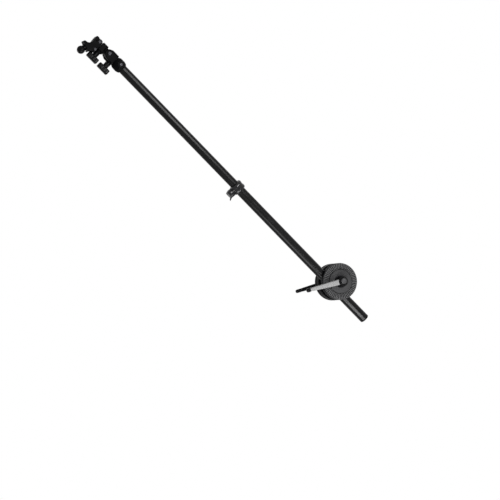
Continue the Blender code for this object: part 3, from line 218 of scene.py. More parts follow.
class EffectGroup(ShaderGraph):
    """A shader node group that several finishes share."""

    def __init__(self, name: str, numbers: dict[str, float], results: Sequence[str], kind: str = "Float") -> None:
        """Start the group.

        Args:
            name: the group's name.
            numbers: input names and their usual values.
            results: output names.
            kind: the type of the outputs.
        """
        super().__init__(bpy.data.node_groups.new(name, "ShaderNodeTree"))
        for socket, value in numbers.items():
            made = self.tree.interface.new_socket(socket, in_out="INPUT", socket_type="NodeSocketFloat")
            made.default_value = value
        for socket in results:
            self.tree.interface.new_socket(socket, in_out="OUTPUT", socket_type="NodeSocket" + kind)
        self.taken = self.tree.nodes.new("NodeGroupInput").outputs
        self.given = self.tree.nodes.new("NodeGroupOutput").inputs

    def put(self, graph: ShaderGraph, **values: float) -> bpy.types.NodeOutputs:
        """Place the group in a material.

        Args:
            graph: the material's graph.
            values: input values by name.

        Returns:
            The group's results.
        """
        node = graph.add("Group", node_tree=self.tree, **values)
        return node.outputs


class Effects:
    """The shared effects: grain, scuffed edges that also carry painted edge highlights, handled patches, draw
    lines, eased edges, painted shade in hollows and the painted sheen of outer faces.
    """

    def __init__(self) -> None:
        """Build every group once."""
        self.grain = self._grain()
        self.wear_and_glint = self._wear_and_glint()
        self.patches = self._patches()
        self.lines = self._lines()
        self.easing = self._easing()
        self.hollows = self._hollow_shade()
        self.face_sheen = self._face_sheen()

    def _grain(self) -> EffectGroup:
        """Build the fine relief of paint, plastic and rubber."""
        group = EffectGroup("surface_grain", {"Size": 1500.0}, ["Height"])
        place, size = group.add("TexCoord").outputs["Object"], group.taken["Size"]
        fine = group.add("TexNoise", Detail=3.0, Roughness=0.62, Vector=place, Scale=size)
        wide = group.maths("MULTIPLY", size, 0.55)
        coarse = group.add("TexVoronoi", feature="SMOOTH_F1", Vector=place, Scale=wide)
        half = group.maths("MULTIPLY", coarse.outputs["Distance"], 0.5)
        group.feed(group.given["Height"], group.maths("ADD", fine.outputs["Fac"], half))
        return group

    def _wear_and_glint(self) -> EffectGroup:
        """Build the mask of edges that handling has scuffed, which also paints highlights along the edges."""
        group = EffectGroup("edge_wear_and_glint", {"Reach": 0.0006, "Break": 260.0}, ["Mask"])
        eased = group.add("Bevel", samples=4, Radius=group.taken["Reach"])
        same = group.add("VectorMath", operation="DOT_PRODUCT", Vector=eased.outputs["Normal"])
        group.feed(same.inputs[1], group.add("NewGeometry").outputs["Normal"])
        edge = group.spread(group.maths("SUBTRACT", 1.0, same.outputs["Value"]), 0.015, 0.16)
        broken = group.add("TexNoise", Detail=4.0, Roughness=0.7, Scale=group.taken["Break"],
                           Vector=group.add("TexCoord").outputs["Object"])
        patchy = group.spread(broken.outputs["Fac"], 0.42, 0.62)
        group.feed(group.given["Mask"], group.maths("MULTIPLY", edge, patchy))
        return group

    def _patches(self) -> EffectGroup:
        """Build the soft large patches that hands and dust leave."""
        group = EffectGroup("handled_patches", {"Size": 40.0}, ["Mask"])
        cloud = group.add("TexNoise", Detail=5.0, Roughness=0.55, Distortion=0.3, Scale=group.taken["Size"],
                          Vector=group.add("TexCoord").outputs["Object"])
        group.feed(group.given["Mask"], group.spread(cloud.outputs["Fac"], 0.3, 0.7))
        return group

    def _lines(self) -> EffectGroup:
        """Build the fine lines that drawing and sliding leave along the boom."""
        group = EffectGroup("draw_lines", {"Size": 2400.0, "Stretch": 0.012}, ["Height", "Mask"])
        turn = group.add("VectorRotate", rotation_type="Y_AXIS", Angle=math.radians(90) - BOOM_ANGLE,
                         Vector=group.add("TexCoord").outputs["Object"])
        parts = group.add("SeparateXYZ", Vector=turn.outputs["Vector"]).outputs
        drawn_out = group.maths("MULTIPLY", parts["Z"], group.taken["Stretch"])
        squeezed = group.add("CombineXYZ", X=parts["X"], Y=parts["Y"], Z=drawn_out)
        line = group.add("TexNoise", Detail=2.0, Roughness=0.5, Scale=group.taken["Size"],
                         Vector=squeezed.outputs["Vector"])
        group.feed(group.given["Height"], line.outputs["Fac"])
        group.feed(group.given["Mask"], group.spread(line.outputs["Fac"], 0.56, 0.7))
        return group

    def _easing(self) -> EffectGroup:
        """Build the rounded look of edges that a mould or a tumbler eases."""
        group = EffectGroup("eased_edges", {"Radius": 0.0005}, ["Normal"], "Vector")
        eased = group.add("Bevel", samples=4, Radius=group.taken["Radius"])
        group.feed(group.given["Normal"], eased.outputs["Normal"])
        return group

    def _hollow_shade(self) -> EffectGroup:
        """Build the mask of painted shade: hollows and the foot of steps, where ambient occlusion finds the surface
        closed in, are darkened.
        """
        group = EffectGroup("painted_hollow_shade", {"Reach": 0.002}, ["Mask"])
        open_sky = group.add("AmbientOcclusion", samples=6, only_local=True, Distance=group.taken["Reach"])
        group.feed(group.given["Mask"], group.spread(open_sky.outputs["AO"], 0.62, 0.94, 1.0, 0.0))
        return group

    def _face_sheen(self) -> EffectGroup:
        """Build the masks of a disc's outer face, which looks along the disc's axis towards the front lamps and is
        painted lighter as their sheen, and of its toothed band.
        """
        group = EffectGroup("painted_face_sheen", {"Low": 0.25, "High": 0.7, "Inside": 0.0300}, ["Mask", "Band"])
        place, low = group.add("TexCoord").outputs, group.taken["Low"]
        parts = group.add("SeparateXYZ", Vector=place["Normal"]).outputs
        turned = group.maths("MULTIPLY", parts["Y"], -1.0)
        span = group.maths("SUBTRACT", group.taken["High"], low)
        share = group.maths("DIVIDE", group.maths("SUBTRACT", turned, low), span)
        group.feed(group.given["Mask"], group.spread(share, 0.0, 1.0))
        centred = group.add("VectorMath", operation="MULTIPLY_ADD", Vector=place["Object"])
        centred.inputs[1].default_value = (1.0, 0.0, 1.0)
        centred.inputs[2].default_value = (0.0, 0.0, -DISC_AXIS_HEIGHT)
        size = group.add("VectorMath", operation="LENGTH", Vector=centred.outputs["Vector"])
        toothed = group.maths("GREATER_THAN", size.outputs["Value"], group.taken["Inside"])
        group.feed(group.given["Band"], toothed)
        return group


@dataclass(frozen=True)
class Finish:
    """One finish of the bracket, with the values that its shader takes."""

    name: str
    colour: tuple[float, float, float]
    # Lighter colour of scuffed edges, which also serves as a painted edge highlight.
    worn_and_glint: tuple[float, float, float]
    rough: tuple[float, float]
    grain: Grain
    metallic: float = 0.0
    gloss: float = 0.3
    wear_and_glint: float = 0.5
    easing: float = 0.0005
    patch: float = 45.0
    tint: float = 1.35
    lines: float = 0.0
    # How strongly painted shade darkens closed-in hollows.
    hollow: float = 0.0
    # Lighter colours painted on faces turned along -Y as the sheen of the front lamps: face on a disc's toothed
    # band, middle inside it.
    face: tuple[float, float, float] | None = None
    middle: tuple[float, float, float] | None = None

    def material(self, effects: Effects) -> bpy.types.Material:
        """Build the finish.

        Args:
            effects: the shared shader groups.

        Returns:
            The material.
        """
        made = bpy.data.materials.new(self.name)
        made.use_nodes = True
        graph = ShaderGraph(made.node_tree)
        shader = made.node_tree.nodes["Principled BSDF"].inputs
        shader["Metallic"].default_value = self.metallic
        shader["Specular IOR Level"].default_value = self.gloss
        patches = effects.patches.put(graph, Size=self.patch)
        wear_and_glint = effects.wear_and_glint.put(graph, Reach=self.easing * WEAR_PAST_EASING)
        grain = effects.grain.put(graph, Size=self.grain.value[0])
        easing = effects.easing.put(graph, Radius=self.easing)
        lighter = tuple(min(1.0, part * self.tint) for part in self.colour)
        base = graph.blend_colours(patches["Mask"], self.colour, lighter)
        # Painted sheen: faces turned along -Y, towards the front lamps, take a lighter colour, the toothed band
        # lighter than the middle.
        if self.face and self.middle:
            face_sheen = effects.face_sheen.put(graph)
            outer = graph.blend_colours(face_sheen["Band"], self.middle, self.face)
            base = graph.blend_colours(face_sheen["Mask"], base, outer)
        # Scuffed edges take the lighter colour: real paint loss that also stands in as painted edge highlights.
        rubbed_and_glint = graph.maths("MULTIPLY", wear_and_glint["Mask"], self.wear_and_glint)
        height = grain["Height"]
        if self.lines > 0:
            lines = effects.lines.put(graph)
            drawn = graph.maths("MULTIPLY", lines["Height"], LINE_HEIGHT)
            height = graph.maths("ADD", height, drawn)
            streak = graph.maths("MULTIPLY", lines["Mask"], self.lines)
            rubbed_and_glint = graph.maths("MAXIMUM", rubbed_and_glint, streak)
        colour = graph.blend_colours(rubbed_and_glint, base, self.worn_and_glint)
        # Painted shade: closed-in hollows, such as the valleys between the disc's teeth, darken towards a tenth of
        # the finish's colour.
        if self.hollow > 0:
            deep = graph.maths("MULTIPLY", effects.hollows.put(graph)["Mask"], self.hollow)
            colour = graph.blend_colours(deep, colour, tuple(part * DEEP_SHADE for part in self.colour))
        graph.feed(shader["Base Color"], colour)
        uneven = graph.spread(patches["Mask"], 0.0, 1.0, *self.rough)
        polished = graph.maths("MULTIPLY", rubbed_and_glint, RUBBED_POLISH)
        graph.feed(shader["Roughness"], graph.maths("SUBTRACT", uneven, polished))
        relief = graph.add("Bump", Strength=RELIEF_STRENGTH, Distance=self.grain.value[1], Height=height,
                           Normal=easing["Normal"])
        graph.feed(shader["Normal"], relief.outputs["Normal"])
        return made


# The castings' light edge colour paints their edge highlights as well as their scuffs.
CAST_PAINT = Finish("cast_paint", (0.0020, 0.0020, 0.0024), (0.10, 0.10, 0.104), (0.36, 0.48), Grain.POWDER,
                    gloss=0.035, wear_and_glint=0.6)
# The face and middle colours paint the disc's outer face lighter as lamp sheen; hollow paints full shade into the
# tooth valleys.
DISC_PAINT = Finish("disc_paint", (0.0050, 0.0050, 0.0055), (0.12, 0.12, 0.123), (0.42, 0.55), Grain.POWDER,
                    gloss=0.05, wear_and_glint=0.8, hollow=1.0, face=(0.140, 0.140, 0.143), middle=(0.066, 0.066, 0.068))
BLACK_TUBE = Finish("black_tube", (0.0026, 0.0026, 0.0030), (0.02, 0.02, 0.021), (0.16, 0.21), Grain.SANDED,
                    gloss=0.14, wear_and_glint=0.5, lines=0.2)
BLACK_NYLON = Finish("black_nylon", (0.0020, 0.0020, 0.0025), (0.05, 0.05, 0.051), (0.13, 0.20), Grain.MOULDED,
                     gloss=0.08, wear_and_glint=0.35)
GLOSSY_NYLON = Finish("glossy_nylon", (0.0035, 0.0035, 0.0050), (0.035, 0.035, 0.038), (0.06, 0.11), Grain.MOULDED,
                      gloss=0.34, wear_and_glint=0.4)
GREY_NYLON = Finish("grey_nylon", (0.085, 0.085, 0.088), (0.16, 0.16, 0.16), (0.40, 0.52), Grain.MOULDED, wear_and_glint=0.25)
BUTTON_NYLON = Finish("button_nylon", (0.045, 0.045, 0.047), (0.10, 0.10, 0.10), (0.34, 0.44), Grain.MOULDED,
                      wear_and_glint=0.2)
LEVER_METAL = Finish("lever_metal", (0.31, 0.31, 0.31), (0.44, 0.44, 0.44), (0.46, 0.60), Grain.RUBBED,
                     gloss=0.4, wear_and_glint=0.5, tint=1.12, patch=160.0)
PLATED_STEEL = Finish("plated_steel", (0.42, 0.42, 0.43), (0.6, 0.6, 0.6), (0.24, 0.36), Grain.SANDED,
                      metallic=1.0, gloss=0.5, wear_and_glint=0.5, tint=1.1)
BLACKENED_STEEL = Finish("blackened_steel", (0.018, 0.018, 0.020), (0.20, 0.20, 0.20), (0.18, 0.26), Grain.SANDED,
                         metallic=1.0, gloss=0.5, wear_and_glint=0.5, tint=1.2)
TURNED_BRASS = Finish("turned_brass", (0.62, 0.45, 0.20), (0.75, 0.6, 0.35), (0.25, 0.36), Grain.SANDED,
                      metallic=1.0, gloss=0.5, wear_and_glint=0.4, tint=1.08)
RUBBER = Finish("pad_rubber", (0.008, 0.008, 0.008), (0.03, 0.03, 0.03), (0.72, 0.86), Grain.RUBBED, gloss=0.12,
                wear_and_glint=0.3)

NODE_FINISHES: dict[Finish, tuple[str, ...]] = {
    CAST_PAINT: ("rear_disc", "socket_casting", "end_fitting", "swivel_block", "tilt_knuckle", "jaw_hub",
                 "lower_jaw", "upper_jaw"),
    DISC_PAINT: ("front_disc",),
    BLACK_TUBE: ("outer_tube", "inner_tube"),
    BLACK_NYLON: ("friction_washer", "stud_lock_lever", "lever_hub", "lever_cap", "tail_plug", "swivel_knob",
                  "jaw_knob", "gap_knob"),
    GLOSSY_NYLON: ("lock_collar", "collar_knob"),
    GREY_NYLON: ("collar_bush", "guide_plug"),
    BUTTON_NYLON: ("hub_button",),
    LEVER_METAL: ("lever_bar",),
    TURNED_BRASS: ("hub_insert",),
    RUBBER: ("lower_pad", "upper_pad"),
    PLATED_STEEL: ("clamp_stud", "alignment_pin", "opening_spring", "stud_lock_screw",
                   "collar_screw", "swivel_screw", "jaw_screw", "gap_screw", "closing_spring"),
    BLACKENED_STEEL: ("thrust_washer", "fitting_bolt", "fitting_nut", "tilt_bolt", "tilt_nut", "jaw_bolt",
                      "jaw_nut", "hinge_pin"),
}


class Wardrobe:
    """Holds one material for each finish and puts it on nodes and pieces."""

    def __init__(self) -> None:
        """Build the shared effects and every finish."""
        effects = Effects()
        self.materials = {finish: finish.material(effects) for finish in NODE_FINISHES}

    def dress(self, item: bpy.types.Object, finish: Finish) -> None:
        """Give an object one finish."""
        item.data.materials.clear()
        item.data.materials.append(self.materials[finish])

    def dress_frame(self) -> None:
        """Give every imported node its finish."""
        for finish, names in NODE_FINISHES.items():
            for name in names:
                self.dress(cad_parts[name], finish)
                LOG.info("%s wears %s", name, finish.name)


class Workshop:
    """Makes the finer pieces: turned on a lathe or skinned over sections, then eased and carved."""

    def __init__(self, wardrobe: Wardrobe) -> None:
        """Keep the finishes that pieces are dressed in."""
        self.wardrobe = wardrobe

    def lathe(self, profile: Points, steps: int = 96) -> bmesh.types.BMesh:
        """Turn a profile about Z.

        Args:
            profile: (radius, height) points, closed where neither end lies on the axis.
            steps: points round the piece.

        Returns:
            The turned form.
        """
        form = bmesh.new()
        loops = []
        for radius, height in profile:
            if radius < ON_AXIS:
                loops.append([form.verts.new((0, 0, height))] * steps)
                continue
            turns = [math.tau * k / steps for k in range(steps)]
            loops.append([form.verts.new((radius * math.cos(turn), radius * math.sin(turn), height))
                          for turn in turns])
        pairs = list(zip(loops, loops[1:]))
        if profile[0][0] > ON_AXIS or profile[-1][0] > ON_AXIS:
            pairs.append((loops[-1], loops[0]))
        for first, second in pairs:
            for k in range(steps):
                after = (k + 1) % steps
                corners = []
                for vert in (first[k], first[after], second[after], second[k]):
                    if vert not in corners:
                        corners.append(vert)
                if len(corners) > 2:
                    form.faces.new(corners)
        return form

    def rod(self, radius: float, low: float, high: float, steps: int = 32) -> bmesh.types.BMesh:
        """Turn a plain rod, as a tool that cuts a hole or a hollow."""
        return self.lathe([(0, low), (radius, low), (radius, high), (0, high)], steps)

    def loft(self, sections: Sequence[Sequence[tuple[float, float, float]]]) -> bmesh.types.BMesh:
        """Skin a row of closed sections of equal count and cap both ends.

        Args:
            sections: the rings of points, in order.

        Returns:
            The skinned form.
        """
        form = bmesh.new()
        loops = [[form.verts.new(point) for point in section] for section in sections]
        count = len(loops[0])
        form.faces.new(loops[0])
        form.faces.new(loops[-1])
        for first, second in zip(loops, loops[1:]):
            for k in range(count):
                after = (k + 1) % count
                form.faces.new((first[k], first[after], second[after], second[k]))
        return form

    def slab(self, low: Sequence[float], high: Sequence[float]) -> bmesh.types.BMesh:
        """Make a block between two corners."""
        corners = [(low[0], low[1]), (high[0], low[1]), (high[0], high[1]), (low[0], high[1])]
        return self.loft([[(x, y, z) for x, y in corners] for z in (low[2], high[2])])

    def piece(self, name: str, form: bmesh.types.BMesh, place: Matrix, finish: Finish) -> bpy.types.Object:
        """Put a form in the scene.

        Args:
            name: the piece's name.
            form: its mesh, which is used up.
            place: its frame in the row frame.
            finish: the finish that it wears.

        Returns:
            The piece.
        """
        form.transform(place)
        bmesh.ops.recalc_face_normals(form, faces=form.faces)
        data = bpy.data.meshes.new(name)
        form.to_mesh(data)
        form.free()
        data.shade_smooth()
        data.set_sharp_from_angle(angle=SHARP_EDGE)
        made = bpy.data.objects.new(name, data)
        bpy.context.scene.collection.objects.link(made)
        self.wardrobe.dress(made, finish)
        return made

    def settle(self, item: bpy.types.Object) -> None:
        """Turn a piece's modifiers into its mesh."""
        bpy.context.view_layer.update()
        seen = item.evaluated_get(bpy.context.evaluated_depsgraph_get())
        data = bpy.data.meshes.new_from_object(seen)
        item.modifiers.clear()
        item.data = data

    def ease(self, item: bpy.types.Object, width: float, segments: int,
             angle: float = LEAST_BEVEL_ANGLE) -> None:
        """Round a piece's edges.

        Args:
            item: the piece.
            width: how far the rounding reaches from an edge.
            segments: faces across the rounding.
            angle: the least angle of an edge that is rounded, in degrees.
        """
        made = item.modifiers.new("eased", "BEVEL")
        made.width = width
        made.segments = segments
        made.limit_method = "ANGLE"
        made.angle_limit = math.radians(angle)
        self.settle(item)
        item.data.shade_smooth()
        item.data.set_sharp_from_angle(angle=EASED_EDGE)

    def carve(self, item: bpy.types.Object, cutters: Iterable[bpy.types.Object],
              operation: str = "DIFFERENCE") -> None:
        """Cut cutters out of a piece, or join them to it.

        Args:
            item: the piece.
            cutters: the forms to cut or join, which are used up.
            operation: the Boolean modifier's operation.
        """
        cutters = list(cutters)
        for cutter in cutters:
            made = item.modifiers.new("carved", "BOOLEAN")
            made.object = cutter
            made.operation = operation
            made.solver = "EXACT"
        self.settle(item)
        for cutter in cutters:
            bpy.data.objects.remove(cutter)
        item.data.shade_smooth()
        item.data.set_sharp_from_angle(angle=SHARP_EDGE)

    def fit(self, item: bpy.types.Object, body: str, slot: str, *nodes: str) -> bpy.types.Object:
        """Let a piece ride on a body and stand for nodes.

        Args:
            item: the piece.
            body: the body that it rides on.
            slot: its material slot, not used.
            nodes: the nodes that it stands for.

        Returns:
            The piece.
        """
        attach(item, body)
        if nodes:
            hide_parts(*nodes)
        LOG.info("%s rides on %s", item.name, body)
        return item


@dataclass
class Boom:
    """The two tubes of the boom, the lock collar and its knob.

    Profiles are (radius, height) points, the knob's sections (reach, half width, half depth), its spur's
    (reach, half thickness, low, high), and the hollow for its screw is (radius, start, end).
    """

    shop: Workshop
    outer_radius: float = 0.012
    outer_wall: float = 0.0007
    inner_radius: float = 0.0111
    inner_wall: float = 0.001
    tail_reach: float = -0.1186
    tail_flange: float = 0.003
    tube_edge: float = 0.0002
    tube_seat: float = 0.005
    inner_hidden: float = 0.070
    in_fitting: float = 0.018
    collar_profile: Points = (
        (0.0123, -0.0110), (0.0145, -0.0110), (0.0155, -0.0106), (0.0165, -0.0094), (0.0171, -0.0076),
        (0.0171, -0.0034), (0.0164, -0.0028), (0.0164, 0.0028), (0.0171, 0.0034), (0.0171, 0.0076),
        (0.0165, 0.0094), (0.0155, 0.0106), (0.0145, 0.0110), (0.0114, 0.0110), (0.0114, 0.0090), (0.0123, 0.0090),
    )
    boss_profile: Points = ((0, 0.0135), (0.0098, 0.0135), (0.0098, 0.0170), (0.0090, 0.0178), (0, 0.0178))
    knob_place: float = 0.0018
    knob_power: float = 0.62
    knob_points: int = 40
    knob_sections: Sections = (
        (0.0181, 0.0094, 0.0090), (0.0193, 0.0103, 0.0101), (0.0231, 0.0101, 0.0099), (0.0279, 0.0093, 0.0088),
        (0.0301, 0.0084, 0.0078),
    )
    screw_hollow: tuple[float, float, float] = (0.0029, 0.0171, 0.0241)
    spur_sections: Sections = (
        (0.0256, 0.0016, -0.0086, -0.0030), (0.0301, 0.0015, -0.0095, -0.0052), (0.0365, 0.0009, -0.0120, -0.0098),
    )

    def tubes(self) -> None:
        """Draw the outer and the inner tube."""
        low = self.tail_reach + self.tail_flange + FACE_GAP
        high = COLLAR_DISTANCE + COLLAR_HALF - self.tube_seat
        bore = self.outer_radius - self.outer_wall
        rim, edge = self.outer_radius, self.tube_edge
        profile = [(bore, low), (rim - edge, low), (rim, low + edge), (rim, high - edge), (rim - edge, high),
                   (bore, high)]
        tube = self.shop.piece("outer_tube_drawn", self.shop.lathe(profile), boom_frame(), BLACK_TUBE)
        self.shop.fit(tube, "lower_boom", "tube", "outer_tube")
        low = COLLAR_DISTANCE + COLLAR_HALF - self.inner_hidden
        high = HEAD_START + self.in_fitting
        bore = self.inner_radius - self.inner_wall
        profile = [(bore, low), (self.inner_radius, low), (self.inner_radius, high), (bore, high)]
        tube = self.shop.piece("inner_tube_drawn", self.shop.lathe(profile), boom_frame(), BLACK_TUBE)
        self.shop.fit(tube, "upper_boom", "tube", "inner_tube")

    def collar(self) -> None:
        """Mould the lock collar with the groove round its middle and the boss for its knob."""
        item = self.shop.piece("lock_collar_moulded", self.shop.lathe(self.collar_profile),
                               boom_frame(COLLAR_DISTANCE), GLOSSY_NYLON)
        at_knob = boom_frame(COLLAR_DISTANCE + self.knob_place) @ Lay.ACROSS.value
        boss = self.shop.lathe(self.boss_profile, 64)
        self.shop.carve(item, [self.shop.piece("collar_boss", boss, at_knob, GLOSSY_NYLON)], "UNION")
        self.shop.fit(item, "lower_boom", "nylon", "lock_collar")

    def knob(self) -> None:
        """Mould the flat-sided knob with its thin spur."""
        place = boom_frame(COLLAR_DISTANCE + self.knob_place)
        sections = [
            [(-reach, out, along) for along, out in squared_ring(wide, deep, self.knob_power, self.knob_points)]
            for reach, wide, deep in self.knob_sections
        ]
        item = self.shop.piece("collar_knob_moulded", self.shop.loft(sections), place, GLOSSY_NYLON)
        hollow = self.shop.rod(*self.screw_hollow)
        self.shop.carve(item, [self.shop.piece("knob_hollow", hollow, place @ Lay.ACROSS.value, GLOSSY_NYLON)])
        blade = self.shop.loft([
            [(-reach, y, z) for y, z in ((-thin, low), (thin, low), (thin, high), (-thin, high))]
            for reach, thin, low, high in self.spur_sections
        ])
        self.shop.carve(item, [self.shop.piece("knob_spur", blade, place, GLOSSY_NYLON)], "UNION")
        self.shop.fit(item, "collar_lock", "nylon", "collar_knob")

    def build(self) -> None:
        """Make every finer piece of the boom."""
        self.tubes()
        self.collar()
        self.knob()


@dataclass
class DiscGrip:
    """The toothed front disc and the lever that squeezes the discs.

    Rows of the disc are (radius, height, share of a tooth's swing), points of a tooth (share of its pitch,
    side), holes for the pin (radius, depth) and sections of the bar (place, width, thickness).
    """

    shop: Workshop
    radius: float = 0.0460
    half_gap: float = 0.008
    disc_rows: Sections = (
        (0.0033, 0.0080, 0), (0.0033, 0.0255, 0), (0.0283, 0.0255, 0), (0.0292, 0.0251, 0), (0.0295, 0.0242, 0),
        (0.0298, 0.0226, 0), (0.0312, 0.0226, 0), (0.0318, 0.0230, 1), (0.0446, 0.0230, 1), (0.0452, 0.0222, 0),
        (0.0460, 0.0208, 0), (0.0460, 0.0090, 0), (0.0450, 0.0080, 0),
    )
    teeth: int = 56
    tooth_height: float = 0.0015
    tooth_pattern: Points = ((0.0, 1), (0.36, 1), (0.5, -1), (0.86, -1))
    groove_radius: float = 0.012 + 0.0002
    groove_depth: float = 0.0065
    groove_past: float = 0.005
    pin_offset: float = 0.026
    pin_holes: Points = ((0.0033, 0.011 + FACE_GAP), (0.0048, 0.003))
    hub_base: float = 0.0276
    hub_profile: Points = (
        (0, 0.0143), (0.0033, 0.0143), (0.0033, 0.0103), (0.0068, 0.0103), (0.0068, 0), (0.0130, 0),
        (0.0139, 0.0003), (0.0142, 0.0012), (0.0142, 0.0030), (0.0136, 0.0036), (0.0134, 0.0110),
        (0.0131, 0.0145), (0.0122, 0.0172), (0.0108, 0.0192), (0.0094, 0.0205), (0.0085, 0.0210),
        (0.0038, 0.0210), (0.0038, 0.0167), (0, 0.0167),
    )
    button_profile: Points = (
        (0, 0.0170), (0.0035, 0.0170), (0.0035, 0.0213), (0.0064, 0.0213), (0.0070, 0.0216), (0.0069, 0.0221),
        (0.0060, 0.0227), (0.0044, 0.0231), (0.0024, 0.0232), (0, 0.0232),
    )
    lever_angle: float = math.radians(194.5)
    lever_rise: float = 0.0115
    bar_sections: Sections = (
        (0.0085, 0.0140, 0.0100), (0.0150, 0.0139, 0.0100), (0.0400, 0.0124, 0.0094),
        (0.0700, 0.0102, 0.0082), (0.0884, 0.0087, 0.0076), (0.0890, 0.0080, 0.0070),
    )
    bar_power: float = 0.55
    bar_points: int = 32
    tenon_radius: float = 0.0026
    tenon_ends: tuple[float, float] = (0.0890, 0.0950)
    pocket: Sections = ((0.0085 - FACE_GAP, -0.0053, -0.0073), (0.0175, 0.0053, 0.0073))
    cap_profile: Points = (
        (0, 0.0953), (0.0029, 0.0953), (0.0029, 0.0893), (0.0046, 0.0893), (0.0051, 0.0898), (0.0052, 0.0923),
        (0.0051, 0.0955), (0.0046, 0.0976), (0.0036, 0.0988), (0.0020, 0.0992), (0, 0.0993),
    )

    def lever_frame(self, depth: float = 0.0) -> Matrix:
        """Give the lever's frame: world axes, on the disc axis, at the hub's base less a depth."""
        return Matrix.Translation((0, BOOM_PLANE - self.hub_base - depth, DISC_AXIS_HEIGHT))

    def disc_form(self) -> bmesh.types.BMesh:
        """Form the front disc: a raised middle, a shallow ditch and a band of radial teeth."""
        form = bmesh.new()
        loops = []
        for radius, height, share in self.disc_rows:
            rise = share * self.tooth_height / 2
            loop = []
            for tooth in range(self.teeth):
                for part, side in self.tooth_pattern:
                    turn = math.tau * (tooth + part) / self.teeth
                    loop.append(form.verts.new((radius * math.cos(turn), radius * math.sin(turn),
                                                height + rise * side)))
            loops.append(loop)
        count = len(loops[0])
        for first, second in zip(loops, loops[1:] + loops[:1]):
            for k in range(count):
                after = (k + 1) % count
                form.faces.new((first[k], first[after], second[after], second[k]))
        return form

    def disc(self) -> None:
        """Cast the front disc, mill its groove for the boom and bore its holes for the pin and its spring."""
        place = clamp_frame()
        item = self.shop.piece("front_disc_cast", self.disc_form(), place @ Lay.TO_VIEWER.value, DISC_PAINT)
        flank = self.groove_radius * math.sqrt(2)
        low = self.half_gap - CUT_PAST
        floor = self.half_gap + self.groove_depth
        reach = self.radius + self.groove_past
        section = [(low - flank, -low), (floor - flank, -floor), (flank - floor, -floor), (flank - low, -low)]
        groove = self.shop.loft([[(x - STUD_OFFSET, y, z) for x, y in section] for z in (-reach, reach)])
        cutters = [self.shop.piece("disc_groove", groove, place, DISC_PAINT)]
        at_pin = place @ Matrix.Translation((self.pin_offset, 0, 0)) @ Lay.TO_VIEWER.value
        for radius, depth in self.pin_holes:
            hole = self.shop.rod(radius, low, self.half_gap + depth)
            cutters.append(self.shop.piece("disc_hole", hole, at_pin, DISC_PAINT))
        self.shop.carve(item, cutters)
        self.shop.fit(item, "grip_head", "disc", "front_disc")

    def hub(self) -> None:
        """Mould the lever's hub round its insert, with the soft grey button in its end."""
        place = self.lever_frame() @ Lay.TO_VIEWER.value
        item = self.shop.piece("lever_hub_moulded", self.shop.lathe(self.hub_profile, 72), place, BLACK_NYLON)
        turn = self.lever_frame(self.lever_rise) @ Matrix.Rotation(-self.lever_angle, 4, "Y")
        pocket = self.shop.slab(*self.pocket)
        self.shop.carve(item, [self.shop.piece("hub_pocket", pocket, turn, BLACK_NYLON)])
        self.shop.fit(item, "front_lever", "nylon", "lever_hub")
        item = self.shop.piece("hub_button_moulded", self.shop.lathe(self.button_profile, 48), place, BUTTON_NYLON)
        self.shop.fit(item, "front_lever", "grey_nylon", "hub_button")

    def bar(self) -> None:
        """Forge the light lever bar and mould its dark cap."""
        turn = self.lever_frame(self.lever_rise) @ Matrix.Rotation(-self.lever_angle, 4, "Y")
        rings = [(place, squared_ring(thick / 2, width / 2, self.bar_power, self.bar_points))
                 for place, width, thick in self.bar_sections]
        tenon = squared_ring(self.tenon_radius, self.tenon_radius, 1.0, self.bar_points)
        rings += [(place, tenon) for place in self.tenon_ends]
        form = self.shop.loft([[(place, *point) for point in ring] for place, ring in rings])
        item = self.shop.piece("lever_bar_forged", form, turn, LEVER_METAL)
        self.shop.fit(item, "front_lever", "lever", "lever_bar")
        cap_turn = self.lever_frame(self.lever_rise) @ Matrix.Rotation(math.radians(90) - self.lever_angle, 4, "Y")
        item = self.shop.piece("lever_cap_moulded", self.shop.lathe(self.cap_profile, 48), cap_turn, BLACK_NYLON)
        self.shop.fit(item, "front_lever", "nylon", "lever_cap")

    def build(self) -> None:
        """Make every finer piece of the grip."""
        self.disc()
        self.hub()
        self.bar()


@dataclass
class StandLock:
    """The lever behind the discs that locks the bracket on its stand."""

    shop: Workshop
    hub_profile: Points = (
        (0, 0.0331), (0.0043, 0.0331), (0.0043, 0.0223), (0.0085, 0.0223), (0.0095, 0.0233), (0.0095, 0.0349),
        (0.0088, 0.0364), (0.0073, 0.0373), (0, 0.0373),
    )
    arm_angle: float = math.radians(196.4)
    arm_height: float = 0.0298
    arm_profile: Points = (
        (0, 0.0068), (0.0058, 0.0068), (0.0060, 0.0090), (0.0056, 0.0300), (0.0048, 0.0620), (0.0044, 0.0680),
        (0.0045, 0.0780), (0.0043, 0.0814), (0.0034, 0.0834), (0.0020, 0.0840), (0, 0.0840),
    )

    def build(self) -> None:
        """Mould the lever in one piece: a round hub and a tapered arm with a fuller end."""
        place = Matrix.Translation((0, 0, DISC_AXIS_HEIGHT))
        item = self.shop.piece("stud_lock_lever_moulded", self.shop.lathe(self.hub_profile, 64),
                               place @ Lay.TO_BACK.value, BLACK_NYLON)
        turn = place @ Matrix.Translation((0, self.arm_height, 0))
        turn = turn @ Matrix.Rotation(math.radians(90) - self.arm_angle, 4, "Y")
        arm = self.shop.piece("lock_arm", self.shop.lathe(self.arm_profile, 48), turn, BLACK_NYLON)
        self.shop.carve(item, [arm], "UNION")
        self.shop.fit(item, "stud_lock", "nylon", "stud_lock_lever")


